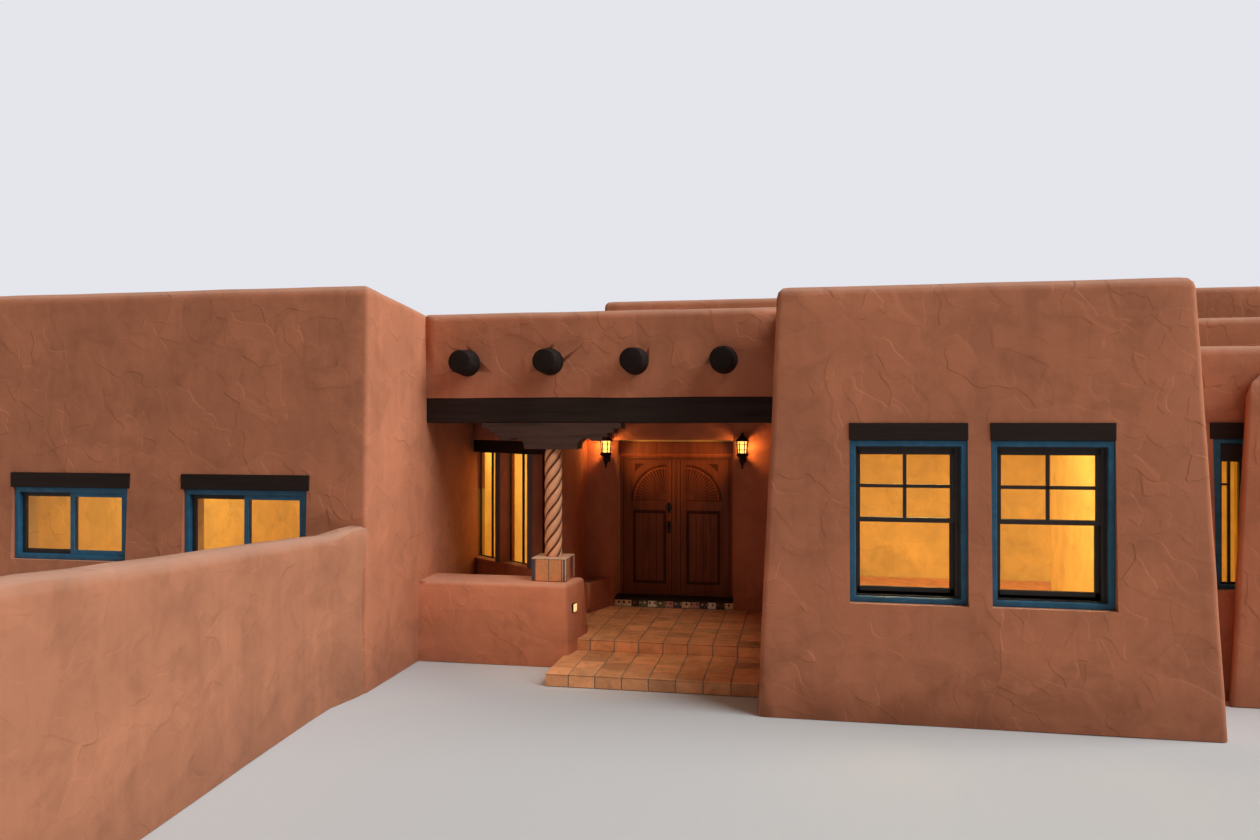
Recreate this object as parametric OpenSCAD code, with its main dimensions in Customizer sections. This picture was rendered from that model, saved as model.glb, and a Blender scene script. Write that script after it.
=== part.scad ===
// Adobe house in millimetres: X runs to the right along the front, Y into the house, Z up.
// The origin is on the ground under the middle of the front door, in the plane of its leaves.

/* [House plan] */
// From the door's middle to the foot of the left wing's inner wall
porch_left = 2880; // [2600:10:3400]
// From the door's middle to the foot of the right wing's inner wall
porch_right = 1400; // [1300:10:2000]
// Width of the left wing at its foot
left_wing_w = 5340; // [4600:20:6200]
// Width of the right wing at its foot
right_wing_w = 4360; // [3900:10:5200]
// Width of the bay between the right wing and the right end of the house
bay_w = 3700; // [2600:20:4200]
// From the entry wall's face forward to the foot of both wings
wing_reach = 3870; // [3300:10:4600]
// From the entry wall's face forward to the face of the porch beam
porch_reach = 2090; // [1800:10:2600]
// From the entry wall's face forward to the foot of the bay
bay_reach = 2400; // [2000:10:3000]
// Depth of the hall between the entry wall and the great room's wall
hall_depth = 2100; // [1600:10:3000]
// Depth of the great room at its foot
great_room_depth = 5000; // [4000:50:7000]
// From the door's middle to the foot of the great room's left wall
great_room_left = 1850; // [1300:10:2400]
// Width of the plain opening between the hall and the great room
passage_w = 2200; // [1600:20:2800]
// Height of the plain opening over the floor
passage_h = 2600; // [2300:10:3000]
// From the great room's left wall to the plain opening
passage_in = 570; // [100:10:1200]

/* [Walls] */
// Thickness of the adobe walls at the ground
wall_t = 480; // [400:10:600]
// Lean of the outer faces for each metre of height
batter = 45; // [20:1:60]
// Lean of the left wing's face towards the porch for each metre of height
porch_batter = 12; // [5:1:60]
// Radius of the soft parapet tops
soft_r = 110; // [60:5:160]
// Radius of the walls' upright corners
corner_r = 60; // [40:5:80]
// Joint between a wall and what butts against it
wall_gap = 1; // [1:1:5]
// Thickness of the wall round the front door
entry_wall_t = 500; // [400:10:700]
// Setback of the door's face behind the entry wall's face
door_setback = 350; // [200:10:400]

/* [Heights] */
// Top of the left wing's parapet over its front
left_top = 4540; // [4300:10:4800]
// Top of the parapets beside and behind the porch
hall_top = 4390; // [4200:5:4500]
// Top of the porch parapet
porch_top = 4385; // [4200:5:4500]
// Top of the bay's parapet
bay_top = 3825; // [3700:10:4000]
// Top of the great room's parapet
great_top = 5150; // [4900:10:5600]
// Top of the bay's ceiling timbers, under its roof deck
bay_roof_z = 3400; // [3100:10:3450]
// Underside of the great room's roof deck
great_roof_z = 4600; // [4400:10:4650]
// Thickness of the roof decks
roof_t = 120; // [80:5:160]
// Bottom of the wall that the bay's roof meets
bay_header_z = 3300; // [3000:10:3400]

/* [Floors] */
// Height of the house floor over the ground
floor_z = 415; // [380:5:450]
// Height of the porch floor over the ground
porch_z = 280; // [200:5:320]
// Height of the broad step before the porch
step_z = 140; // [100:5:180]
// Depth of the broad step
step_d = 1110; // [600:10:1400]
// Width of the broad step
step_w = 2400; // [1600:50:2400]
// Thickness of the door's sill board
sill_t = 30; // [20:1:50]

/* [Porch] */
// Height of the porch beam's underside
beam_z = 2980; // [2850:10:3050]
// Height of the porch beam
beam_h = 320; // [240:10:380]
// Thickness of the porch beam and of the parapet over it
beam_t = 300; // [240:10:360]
// Diameter of the round roof logs
viga_d = 336; // [260:2:340]
// Diameter of the logs at their outer ends
viga_end_d = 290; // [220:2:330]
// Height of the logs' axis
viga_z = 3745; // [3650:5:3900]
// How far the logs stand out of the parapet
viga_out = 300; // [150:10:400]
// Distance between the logs
viga_gap = 1090; // [900:5:1200]
// Number of logs
viga_count = 4; // [3:1:4]
// From the door's middle to the log that is second from the right
viga_x = -180; // [-300:10:0]
// From the door's middle to the column's axis
column_x = -1265; // [-1500:5:-1200]
// Diameter of the twisted column
column_d = 223; // [180:1:260]
// Height that one turn of the twist takes
twist_pitch = 790; // [600:10:1000]
// Side of the column's square plinth block
plinth_w = 450; // [380:5:480]
// Height of the plinth block
plinth_h = 290; // [200:5:360]
// Height of the corbel between the column and the beam
corbel_h = 330; // [280:5:380]
// Length of the corbel
corbel_w = 1804; // [1500:4:2100]
// From the door's middle to the right end of the half wall, at the back of its foot
half_wall_x = -855; // [-1000:5:-820]
// How much further left the half wall ends at its front
half_wall_skew = 90; // [0:5:120]
// Thickness of the half wall at its foot
half_wall_t = 710; // [640:10:760]
// How far the half wall's foot stands out of the porch beam's face
half_wall_out = 325; // [280:5:360]
// Height of the half wall
half_wall_z = 1000; // [900:10:1100]
// Height of the bench seat
bench_z = 700; // [640:5:760]
// Depth of the bench seat by the entry wall
bench_d = 347; // [300:1:400]
// Depth of the bench seat at its free end
bench_end_d = 173; // [140:1:220]
// Length of the bench
bench_run = 550; // [450:10:700]

/* [Window nook] */
// From the door's middle to the nook's right side
nook_x = 1280; // [1270:10:1310]
// How far the nook's corner stands forward of the entry wall's face
nook_reach = 1597; // [1500:1:1620]
// From the entry wall's face forward to where the nook's front meets the left wing
nook_start = 361; // [300:1:420]
// Thickness of the nook's front wall
nook_t = 250; // [230:10:300]
// Thickness of the nook's side wall
nook_side_t = 180; // [170:10:240]
// Width of each light of the narrow windows
narrow_light_w = 276; // [250:2:280]
// Width of the bar between two of their lights
narrow_mullion = 58; // [40:2:64]
// Setback of the narrow windows behind the nook's face
narrow_setback = 150; // [130:5:160]

/* [Front door] */
// Width of each door leaf
leaf_w = 768; // [700:1:800]
// Height of the door leaves
leaf_h = 2015; // [1950:5:2080]
// Thickness of the door leaves
leaf_t = 45; // [38:1:55]
// Gap between a leaf and the piece beside it
leaf_gap = 5; // [5:1:8]
// Width of the door frame's posts
post_w = 72; // [60:1:100]
// Depth of the door frame
frame_d = 75; // [60:1:90]
// Height of the door frame's head
frame_head_h = 58; // [45:1:100]
// Height of the recess round the door over the ground
recess_z = 2730; // [2650:5:2900]
// Plaster strip between the door frame and the recess's side
reveal_w = 22; // [10:1:60]
// Width of the leaves' stiles where they meet
stile_w = 145; // [120:1:170]
// Width of the leaves' stiles by the hinges
hinge_stile_w = 118; // [100:1:140]
// Height of the leaves' top rail over the carved sun
top_rail = 105; // [90:1:140]
// Height of the leaves' middle rail
mid_rail = 157; // [120:1:200]
// Height of the leaves' bottom rail
low_rail = 155; // [120:1:200]
// Number of rays in each leaf's carved sun
rays = 15; // [7:1:16]

/* [Windows] */
// Width of the sliding windows
slider_w = 1550; // [1300:10:1700]
// Height of the sliding windows
slider_h = 860; // [700:10:1000]
// Height of the sliding windows' sills
slider_z = 1355; // [1250:5:1450]
// Distance between the sliding windows
slider_gap = 2280; // [2000:10:2400]
// Width of the tall windows
tall_w = 1140; // [900:10:1200]
// Height of the tall windows
tall_h = 1636; // [1500:4:1700]
// Height of the tall windows' sills
tall_z = 1170; // [1100:5:1250]
// Distance between the tall windows
tall_gap = 1358; // [1280:2:1500]
// From the right wing's inner corner to the middle between the tall windows
tall_in = 2168; // [2100:4:2200]
// How far a tall window's lintel runs past it at each side
tall_lintel_in = 5; // [0:1:30]
// Width of the slit window in the bay
slit_w = 355; // [300:5:360]
// From the right wing's foot to the slit window's middle
slit_in = 669; // [660:1:680]
// Width of the blue window frames' bars
bar_w = 60; // [45:1:70]
// Depth of the window frames
window_d = 90; // [70:2:120]
// Thickness of the window glass
glass_t = 12; // [6:1:16]
// Height of the lintels over the windows
lintel_h = 175; // [140:5:200]
// Depth of the lintels over the windows
lintel_d = 200; // [160:5:240]
// How far the other lintels run past their windows at each side
lintel_in = 30; // [15:1:38]

/* [Lanterns] */
// From the door's middle to the left lantern
lantern_left = 970; // [940:5:1100]
// From the door's middle to the right lantern
lantern_right = 1010; // [980:5:1150]
// Height of the lanterns' lower tips
lantern_z = 2320; // [2100:5:2400]
// Height of each lantern
lantern_h = 520; // [420:5:560]
// Width of each lantern's roof
lantern_d = 200; // [160:2:240]

/* [Buttress and garden wall] */
// From the right wing's foot to the buttress
buttress_in = 497; // [480:1:520]
// Width of the buttress at its foot
buttress_w = 1400; // [1300:10:1600]
// How far the foot of the buttress stands out of the bay's wall
buttress_out = 250; // [200:10:400]
// Lean of the buttress's sides for each metre of height
buttress_batter = 70; // [45:1:80]
// Height of the buttress
buttress_z = 3560; // [3200:10:3650]
// Thickness of the garden wall
garden_t = 300; // [240:10:360]
// Length of the garden wall from the house to its end
garden_run = 5930; // [4400:10:6500]
// Sideways run of the garden wall's straight part for each metre of length
garden_skew = 70; // [40:2:110]
// Height of the garden wall's end
garden_z = 2100; // [1900:10:2200]
// Height of the garden wall at its low place by the house
garden_dip_z = 1800; // [1600:10:1850]

/* [Hidden] */

plaster = "#b5785a";
timber = "#33241f";
blue_paint = "#2b6079";

// Lines of the plan
entry_y0 = -door_setback;
entry_y1 = entry_y0 + entry_wall_t;
wing_y0 = entry_y0 - wing_reach;
porch_y0 = entry_y0 - porch_reach;
porch_y1 = porch_y0 + beam_t;
bay_y0 = entry_y0 - bay_reach;
back_y0 = entry_y1 + hall_depth;
back_y1 = back_y0 + wall_t;
great_y1 = back_y0 + great_room_depth;
left_x1 = -porch_left;
left_x0 = left_x1 - left_wing_w;
right_x0 = porch_right;
right_x1 = right_x0 + right_wing_w;
end_x1 = right_x1 + bay_w;
end_in = end_x1 - wall_t;
great_x0 = -great_room_left;
nook_x1 = -nook_x;
nook_x0 = nook_x1 - nook_side_t;
nook_a = [left_x1, entry_y0 - nook_start];
nook_b = [nook_x1, entry_y0 - nook_reach];
nook_run = norm(nook_b - nook_a);
nook_turn = atan2(nook_b[1] - nook_a[1], nook_b[0] - nook_a[0]);
half_wall_y0 = porch_y0 - half_wall_out;

// Heights worked out from the logs
viga_r = viga_d / 2;
viga_fit = 2;
roof_z = viga_z + viga_r;
viga_end_y = entry_y0 + 200;
parapet_z = beam_z + beam_h;

// Opening of the front door
meet_gap = leaf_gap + 5;
post_x = leaf_w + leaf_gap + meet_gap / 2;
frame_x = post_x + post_w;
recess_x = frame_x + reveal_w;
recess_y = leaf_t - frame_d + 15;
leaf_z = floor_z + 8;
head_z = leaf_z + leaf_h + leaf_gap + 2;
frame_top = head_z + frame_head_h;
stop_d = 24;
stop_gap = 6;
stop_w = 15;
pin_x = post_x - leaf_gap / 2;
pin_r = 7;
pin_y = leaf_t + pin_r + 5;
riser_y = entry_y0 + 50;
passage_x0 = great_x0 + wall_t + passage_in;
passage_x1 = passage_x0 + passage_w;

// Windows: size and sill of each kind, and the places of its middle on the walls' foot lines
left_mid = (left_x0 + left_x1) / 2;
right_mid = right_x0 + tall_in;
great_mid = (great_x0 + end_x1) / 2;
narrow_z = 1000;
narrow_h = 1555;
narrow_d = 60;
narrow_rim = 25;
slider_places = [
    [left_mid - slider_gap / 2, wing_y0, 0],
    [left_mid + slider_gap / 2, wing_y0, 0],
    [left_x0, (wing_y0 + back_y0) / 2, -90],
    [(left_x0 + great_x0) / 2, back_y1, 180]
];
tall_places = [
    [right_mid - tall_gap / 2, wing_y0, 0],
    [right_mid + tall_gap / 2, wing_y0, 0],
    [end_x1, (back_y1 + great_y1) / 2, 90],
    [great_mid - 2.5 * tall_gap, great_y1, 180],
    [great_mid, great_y1, 180],
    [great_mid + 2.5 * tall_gap, great_y1, 180]
];
slit_place = [right_x1 + slit_in, bay_y0, 0];

// Narrow windows: place along the nook's front as a share of its length, and number of lights
narrow_places = [[0.1, 2], [0.485, 2], [0.788, 1]];

// How far a battered face has leaned in at a height
function lean(z) = batter * z / 1000;

// Leaning corner post under a soft parapet edge. Its two faces meet at x, y and lean towards to_x, to_y.
module corner_post(x, y, to_x, to_y, z, r, c, lean_x) {
    translate([x + to_x * c, y + to_y * c, 0])
        cylinder(r = c, h = 1, $fn = 16);
    for (a = [0, 30, 60, 90]) {
        level = z - r + r * sin(a);
        in = r * (1 - cos(a));
        c_in = max(c - in, c / 4);
        translate([
            x + to_x * (in + c_in + lean_x * level / 1000),
            y + to_y * (in + c_in + lean(level)),
            level - 1
        ])
            cylinder(r = c_in, h = 1, $fn = 16);
    }
}

// One block of the house: leaning sides, soft upright corners and a soft parapet edge
module block(x0, x1, y0, y1, z_front, z_back, r = soft_r, c = corner_r, lean_right = batter) {
    hull() {
        corner_post(x0, y0, 1, 1, z_front, r, c, batter);
        corner_post(x1, y0, -1, 1, z_front, r, c, lean_right);
        corner_post(x0, y1, 1, -1, z_back, r, c, batter);
        corner_post(x1, y1, -1, -1, z_back, r, c, lean_right);
    }
}

// Slack by which a cutting shape runs past what it cuts
past = 60;

// A block's faces without its soft corners and with a joint round it, to cut what butts against it
module block_faces(x0, x1, y0, y1, z, lean_right = batter) {
    out = wall_gap + lean(past);
    in = lean(z) - wall_gap;
    out_right = wall_gap + lean_right * past / 1000;
    in_right = lean_right * z / 1000 - wall_gap;
    intersection() {
        translate([0, y1 + out, 0])
            rotate([90, 0, 0])
                linear_extrude(height = y1 - y0 + 2 * out)
                    polygon([[x0 - out, -past], [x1 + out_right, -past], [x1 - in_right, z], [x0 + in, z]]);
        translate([x0 - out, 0, 0])
            rotate([90, 0, 90])
                linear_extrude(height = x1 - x0 + 2 * out)
                    polygon([[y0 - out, -past], [y1 + out, -past], [y1 - in, z], [y0 + in, z]]);
    }
}

module span(x0, x1, y0, y1, z0, z1) {
    translate([x0, y0, z0])
        cube([x1 - x0, y1 - y0, z1 - z0]);
}

module rect(x0, x1, y0, y1) {
    translate([x0, y0])
        square([x1 - x0, y1 - y0]);
}

module left_wing_block() {
    step_back = porch_y0 + 4 * soft_r;
    block(left_x0, left_x1, wing_y0, step_back, left_top, hall_top, lean_right = porch_batter);
    block(left_x0, left_x1, wing_y0 + 4 * soft_r, back_y1, hall_top, hall_top,
        lean_right = porch_batter);
}

module right_wing_block() {
    block(right_x0, right_x1, wing_y0, entry_y1 + 2 * wall_t, hall_top, hall_top);
}

// Both wings as what stands between them meets them
module wing_faces() {
    block_faces(left_x0, left_x1, wing_y0, back_y1 + wall_t, left_top, porch_batter);
    block_faces(right_x0, right_x1, wing_y0, entry_y1 + 2 * wall_t, left_top);
}

module great_faces() {
    block_faces(great_x0, end_x1, back_y0, great_y1, great_top);
}

module bay_block() {
    block(right_x0 + wall_t, end_x1, bay_y0, back_y0, bay_top, bay_top);
}

module hall_block() {
    block(right_x0 + wall_t, end_x1, entry_y0, back_y1, hall_top, hall_top);
}

module great_block() {
    block(great_x0, end_x1, back_y0, great_y1, great_top, great_top);
}

// Places children at a window's middle on its wall's foot line, with -Y facing out
module at_place(p) {
    translate([p[0], p[1], 0])
        rotate([0, 0, p[2]])
            children();
}

module window_cut(w, h, z, run = lintel_in) {
    span(-w / 2, w / 2, -50, wall_t + 50, z, z + h);
    lintel(w, z + h, run);
}

// A lintel sits flush with the leaning face at its own top
module lintel(w, z, run = lintel_in) {
    y = lean(z + lintel_h) - 6;
    span(-w / 2 - run, w / 2 + run, y, y + lintel_d, z, z + lintel_h);
}

module window_frame(w, h, z, lights) {
    y = lean(z + h) + 25;
    light_w = (w - bar_w * (lights + 1)) / lights;
    difference() {
        span(-w / 2, w / 2, y, y + window_d, z, z + h);
        for (i = [0 : lights - 1])
            translate([-w / 2 + bar_w + i * (light_w + bar_w), 0, 0])
                span(0, light_w, y - 1, y + window_d + 1, z + bar_w, z + h - bar_w);
    }
}

module window_pane(w, h, z, lights) {
    y = lean(z + h) + 25 + window_d / 2;
    light_w = (w - bar_w * (lights + 1)) / lights;
    for (i = [0 : lights - 1])
        translate([-w / 2 + bar_w + i * (light_w + bar_w), 0, 0])
            span(0, light_w, y, y + glass_t, z + bar_w, z + h - bar_w);
}

module slider_cuts() {
    for (p = slider_places)
        at_place(p)
            window_cut(slider_w, slider_h, slider_z);
}

module tall_cuts() {
    for (p = tall_places)
        at_place(p)
            window_cut(tall_w, tall_h, tall_z, tall_lintel_in);
}

// Walls of the left wing
module left_wing_front_wall() {
    color(plaster)
        difference() {
            intersection() {
                left_wing_block();
                span(left_x0 - past, left_x1 + past, wing_y0 - past, wing_y0 + wall_t, -past,
                    left_top + past);
            }
            slider_cuts();
        }
}

module left_wing_outer_wall() {
    color(plaster)
        difference() {
            intersection() {
                left_wing_block();
                span(left_x0 - past, left_x0 + wall_t, wing_y0 + wall_t, back_y0, -past, left_top + past);
            }
            slider_cuts();
        }
}

module left_wing_inner_wall() {
    color(plaster)
        intersection() {
            left_wing_block();
            span(left_x1 - wall_t, left_x1 + past, wing_y0 + wall_t, entry_y1, -past, left_top + past);
        }
}

module left_wing_back_wall() {
    color(plaster)
        difference() {
            intersection() {
                block(left_x0, great_x0 + wall_t, wing_y0, back_y1, hall_top, hall_top);
                span(left_x0 - past, great_x0 + wall_t, back_y0, back_y1 + past, -past, hall_top + past);
            }
            great_faces();
            slider_cuts();
        }
}

// Window nook in the porch's left corner, with its front across the corner
module at_nook() {
    translate([nook_a[0], nook_a[1], 0])
        rotate([0, 0, nook_turn])
            children();
}

// Plan of what lies behind a line at some depth behind the nook's face
module nook_outline(depth = 0) {
    far = 2 * nook_run;
    intersection() {
        translate(nook_a)
            rotate(nook_turn)
                rect(-far, far, depth, far);
        rect(left_x1 - wall_t, nook_x1, nook_b[1] - past, entry_y1);
    }
}

function narrow_w(p) = p[1] * narrow_light_w + (p[1] - 1) * narrow_mullion + 2 * narrow_rim;
function narrow_x(p) = p[0] * nook_run - narrow_w(p) / 2;

module narrow_box(p, y, d) {
    span(narrow_x(p), narrow_x(p) + narrow_w(p), y, y + d, narrow_z, narrow_z + narrow_h);
}

module narrow_lights(p, y, d) {
    for (i = [0 : p[1] - 1]) {
        x = narrow_x(p) + narrow_rim + i * (narrow_light_w + narrow_mullion);
        span(x, x + narrow_light_w, y, y + d, narrow_z + narrow_rim, narrow_z + narrow_h - narrow_rim);
    }
}

module nook_cuts() {
    at_nook()
        for (p = narrow_places)
            narrow_box(p, -50, nook_t + 100);
}

module nook_lintel() {
    last = narrow_places[2];
    z = narrow_z + narrow_h;
    difference() {
        at_nook()
            span(-wall_t, narrow_x(last) + narrow_w(last) + lintel_in, -6, lintel_d, z, z + lintel_h);
        wing_faces();
    }
}

// Row of roof logs that taper where they stand out of the parapet
module viga_row(r, end_r) {
    for (i = [0 : viga_count - 1])
        translate([viga_x + (i - 2) * viga_gap, porch_y0, viga_z]) {
            rotate([-90, 0, 0])
                cylinder(r = r, h = viga_end_y - porch_y0, $fn = 48);
            rotate([90, 0, 0])
                cylinder(r1 = r, r2 = end_r, h = viga_out, $fn = 48);
        }
}

// What the logs take out of walls that end under the roof deck
module viga_slots() {
    r = viga_r + viga_fit;
    viga_row(r, r);
    for (i = [0 : viga_count - 1])
        translate([viga_x + (i - 2) * viga_gap, 0, 0])
            span(-r, r, porch_y0, viga_end_y, viga_z, roof_z + past);
}

module nook_front_wall() {
    color(plaster)
        difference() {
            linear_extrude(height = roof_z)
                difference() {
                    nook_outline();
                    nook_outline(nook_t);
                }
            wing_faces();
            nook_cuts();
            nook_lintel();
            viga_slots();
        }
}

// The side wall carries the log that runs over it
module nook_side_wall() {
    color(plaster)
        difference() {
            linear_extrude(height = viga_z - viga_r)
                intersection() {
                    nook_outline(nook_t);
                    rect(nook_x0, nook_x1, nook_b[1], entry_y0);
                }
            nook_cuts();
        }
}

// Plan of the doorway: the recess before the door's frame, then the frame's own width
module doorway_plan(y0) {
    rect(-recess_x, recess_x, y0, recess_y);
    rect(-frame_x, frame_x, recess_y, entry_y1);
}

// Wall round the front door, in three pieces
module entry_wall(x0, x1) {
    difference() {
        linear_extrude(height = roof_z)
            difference() {
                rect(x0, x1, entry_y0, entry_y1);
                doorway_plan(entry_y0 - 1);
            }
        wing_faces();
        viga_slots();
    }
}

module entry_wall_left() {
    color(plaster)
        entry_wall(nook_x0, -frame_x);
}

module entry_wall_right() {
    color(plaster)
        entry_wall(frame_x, right_x0 + wall_t);
}

module entry_wall_head() {
    color(plaster)
        difference() {
            union() {
                span(-recess_x, recess_x, entry_y0, recess_y, recess_z, roof_z);
                span(-frame_x, frame_x, recess_y, entry_y1, frame_top, roof_z);
            }
            viga_slots();
        }
}

// Cross-section of the porch parapet, with a soft top
module parapet_profile() {
    h = porch_top - parapet_z;
    square([beam_t, h - soft_r]);
    translate([soft_r, 0])
        square([beam_t - 2 * soft_r, h]);
    for (y = [soft_r, beam_t - soft_r])
        translate([y, h - soft_r])
            circle(r = soft_r, $fn = 48);
}

module porch_parapet() {
    color(plaster)
        difference() {
            translate([left_x1 - wall_t, porch_y0, parapet_z])
                rotate([90, 0, 90])
                    linear_extrude(height = right_x0 - left_x1 + 2 * wall_t)
                        parapet_profile();
            wing_faces();
            viga_row(viga_r + viga_fit, viga_r);
        }
}

// Walls of the right wing
module right_wing_front_wall() {
    color(plaster)
        difference() {
            intersection() {
                right_wing_block();
                span(right_x0 - past, right_x1 + past, wing_y0 - past, wing_y0 + wall_t, -past,
                    hall_top + past);
            }
            tall_cuts();
        }
}

module right_wing_inner_wall() {
    color(plaster)
        intersection() {
            right_wing_block();
            span(right_x0 - past, right_x0 + wall_t, wing_y0 + wall_t, entry_y1, -past, hall_top + past);
        }
}

module right_wing_outer_wall() {
    color(plaster)
        intersection() {
            right_wing_block();
            span(right_x1 - wall_t, right_x1 + past, wing_y0 + wall_t, entry_y1, -past, hall_top + past);
        }
}

// Lower bay, the taller wall behind it and the buttress
module bay_front_wall() {
    color(plaster)
        difference() {
            intersection() {
                bay_block();
                span(right_x1 - wall_t, end_in, bay_y0 - past, bay_y0 + wall_t, -past, bay_top + past);
            }
            wing_faces();
            at_place(slit_place)
                window_cut(slit_w, tall_h, tall_z);
        }
}

module bay_upper_wall() {
    color(plaster)
        difference() {
            intersection() {
                hall_block();
                span(right_x1 - wall_t, end_in, entry_y0 - past, entry_y1, bay_header_z, hall_top + past);
            }
            wing_faces();
        }
}

module right_buttress() {
    x0 = right_x1 + buttress_in;
    x1 = x0 + buttress_w;
    y0 = bay_y0 - buttress_out;
    y1 = bay_y0 + wall_t;
    soft = 300;
    color(plaster)
        difference() {
            hull()
                for (y = [[y0, 1], [y1, -1]]) {
                    corner_post(x0, y[0], 1, y[1], buttress_z, soft, corner_r, buttress_batter);
                    corner_post(x1, y[0], -1, y[1], buttress_z, soft, corner_r, buttress_batter);
                }
            block_faces(right_x0, end_x1, bay_y0, back_y0, bay_top);
            at_place(slit_place)
                translate([0, -wall_gap, 0])
                    lintel(slit_w, tall_z + tall_h, lintel_in + wall_gap);
        }
}

module right_end_wall() {
    overlap = 2 * soft_r;
    color(plaster)
        difference() {
            union() {
                intersection() {
                    bay_block();
                    span(end_in, end_x1 + past, bay_y0 - past, entry_y0 + overlap, -past, bay_top + past);
                }
                intersection() {
                    hall_block();
                    span(end_in, end_x1 + past, entry_y0 - past, back_y0 + overlap, -past, hall_top + past);
                }
                intersection() {
                    great_block();
                    span(end_in, end_x1 + past, back_y0 - past, great_y1 + past, -past, great_top + past);
                }
            }
            tall_cuts();
        }
}

// Walls of the great room
module great_room_front_wall() {
    color(plaster)
        difference() {
            intersection() {
                great_block();
                span(great_x0 - past, end_in, back_y0 - past, back_y1, -past, great_top + past);
            }
            span(passage_x0, passage_x1, back_y0 - 1, back_y1 + 1, -1, floor_z + passage_h);
        }
}

module great_room_left_wall() {
    color(plaster)
        intersection() {
            great_block();
            span(great_x0 - past, great_x0 + wall_t, back_y1, great_y1 - wall_t, -past, great_top + past);
        }
}

module great_room_back_wall() {
    color(plaster)
        difference() {
            intersection() {
                great_block();
                span(great_x0 - past, end_in, great_y1 - wall_t, great_y1 + past, -past, great_top + past);
            }
            tall_cuts();
        }
}

// Garden wall: upright posts along its run, joined in turn. It bends and dips by the house, then runs
// straight and rises to its end. Each post has a distance from the house, a place across and a height.
garden_bend = 970;
garden_straight = garden_run - garden_bend;
garden_posts = [
    [-200, -150, garden_dip_z + 40],
    [100, -180, garden_dip_z + 30],
    [530, -270, garden_dip_z],
    for (p = [[0, garden_dip_z + 30], [0.27, garden_z - 190], [0.54, garden_z - 120], [0.74, garden_z - 50],
        [1, garden_z]])
        [garden_bend + p[0] * garden_straight, -260 + p[0] * garden_straight * garden_skew / 1000, p[1]]
];

module garden_post(p) {
    translate([left_x1 + p[1], wing_y0 - p[0], 0]) {
        cylinder(d = garden_t, h = 1, $fn = 20);
        translate([0, 0, p[2] - garden_t / 2])
            sphere(d = garden_t, $fn = 20);
    }
}

module garden_wall() {
    color(plaster)
        difference() {
            for (i = [0 : len(garden_posts) - 2])
                hull() {
                    garden_post(garden_posts[i]);
                    garden_post(garden_posts[i + 1]);
                }
            wing_faces();
        }
}

// Porch
module half_wall_block() {
    x0 = left_x1 - wall_t;
    y1 = half_wall_y0 + half_wall_t;
    soft = 50;
    hull() {
        corner_post(x0, half_wall_y0, 1, 1, half_wall_z, soft, soft, batter);
        corner_post(half_wall_x - half_wall_skew, half_wall_y0, -1, 1, half_wall_z, soft, soft, batter);
        corner_post(x0, y1, 1, -1, half_wall_z, soft, soft, batter);
        corner_post(half_wall_x, y1, -1, -1, half_wall_z, soft, soft, batter);
    }
}

module porch_half_wall() {
    color(plaster)
        difference() {
            half_wall_block();
            wing_faces();
        }
}

module porch_bench() {
    y0 = entry_y0 - bench_run;
    soft = 40;
    edge = 20;
    color(plaster)
        translate([0, 0, porch_z])
            linear_extrude(height = bench_z - porch_z)
                hull() {
                    rect(nook_x1, nook_x1 + edge, y0, entry_y0);
                    rect(nook_x1, nook_x1 + bench_d, entry_y0 - edge, entry_y0);
                    translate([nook_x1 + bench_end_d - soft, y0 + soft])
                        circle(r = soft, $fn = 48);
                }
}

module column_plinth() {
    color("#c9a08a")
        translate([column_x - plinth_w / 2, porch_y0 + beam_t / 2 - plinth_w / 2, half_wall_z])
            cube([plinth_w, plinth_w, plinth_h]);
}

module twisted_column() {
    z0 = half_wall_z + plinth_h;
    h = beam_z - corbel_h - z0;
    strand_r = 0.56 * column_d / 2;
    color("#b8968a")
        translate([column_x, porch_y0 + beam_t / 2, z0])
            linear_extrude(height = h, twist = -360 * h / twist_pitch, slices = 36)
                for (a = [0, 90, 180, 270])
                    rotate(a)
                        translate([column_d / 2 - strand_r, 0])
                            circle(r = strand_r, $fn = 20);
}

// Corbel outline: a flat bottom, a hollow notch, a soft lobe and stepped ends
module corbel_half() {
    end_x = corbel_w / 2;
    difference() {
        square([end_x, corbel_h]);
        translate([0.51 * end_x, 20])
            circle(r = 115, $fn = 48);
        translate([0.51 * end_x, -1])
            square([end_x, 107]);
        translate([0.74 * end_x, -1])
            square([end_x, 155]);
        translate([0.81 * end_x, -1])
            square([end_x, 207]);
        translate([0.90 * end_x, -1])
            square([end_x, 257]);
    }
}

module corbel() {
    color(timber)
        translate([column_x, porch_y1, beam_z - corbel_h])
            rotate([90, 0, 0])
                linear_extrude(height = beam_t)
                    for (side = [0, 1])
                        mirror([side, 0])
                            corbel_half();
}

module porch_beam() {
    color(timber)
        difference() {
            span(left_x1 - wall_t, right_x0 + wall_t, porch_y0, porch_y1, beam_z, parapet_z);
            wing_faces();
        }
}

module vigas() {
    color(timber)
        viga_row(viga_r, viga_end_d / 2);
}

// Roof decks
module porch_roof() {
    color("#8f6a52")
        difference() {
            span(left_x1 - wall_t, right_x0 + wall_t, porch_y1, entry_y1, roof_z, roof_z + roof_t);
            wing_faces();
        }
}

module left_wing_roof() {
    color("#8f6a52")
        span(left_x0 + wall_t, left_x1 - wall_t, wing_y0 + wall_t, back_y0, roof_z, roof_z + roof_t);
}

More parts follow.
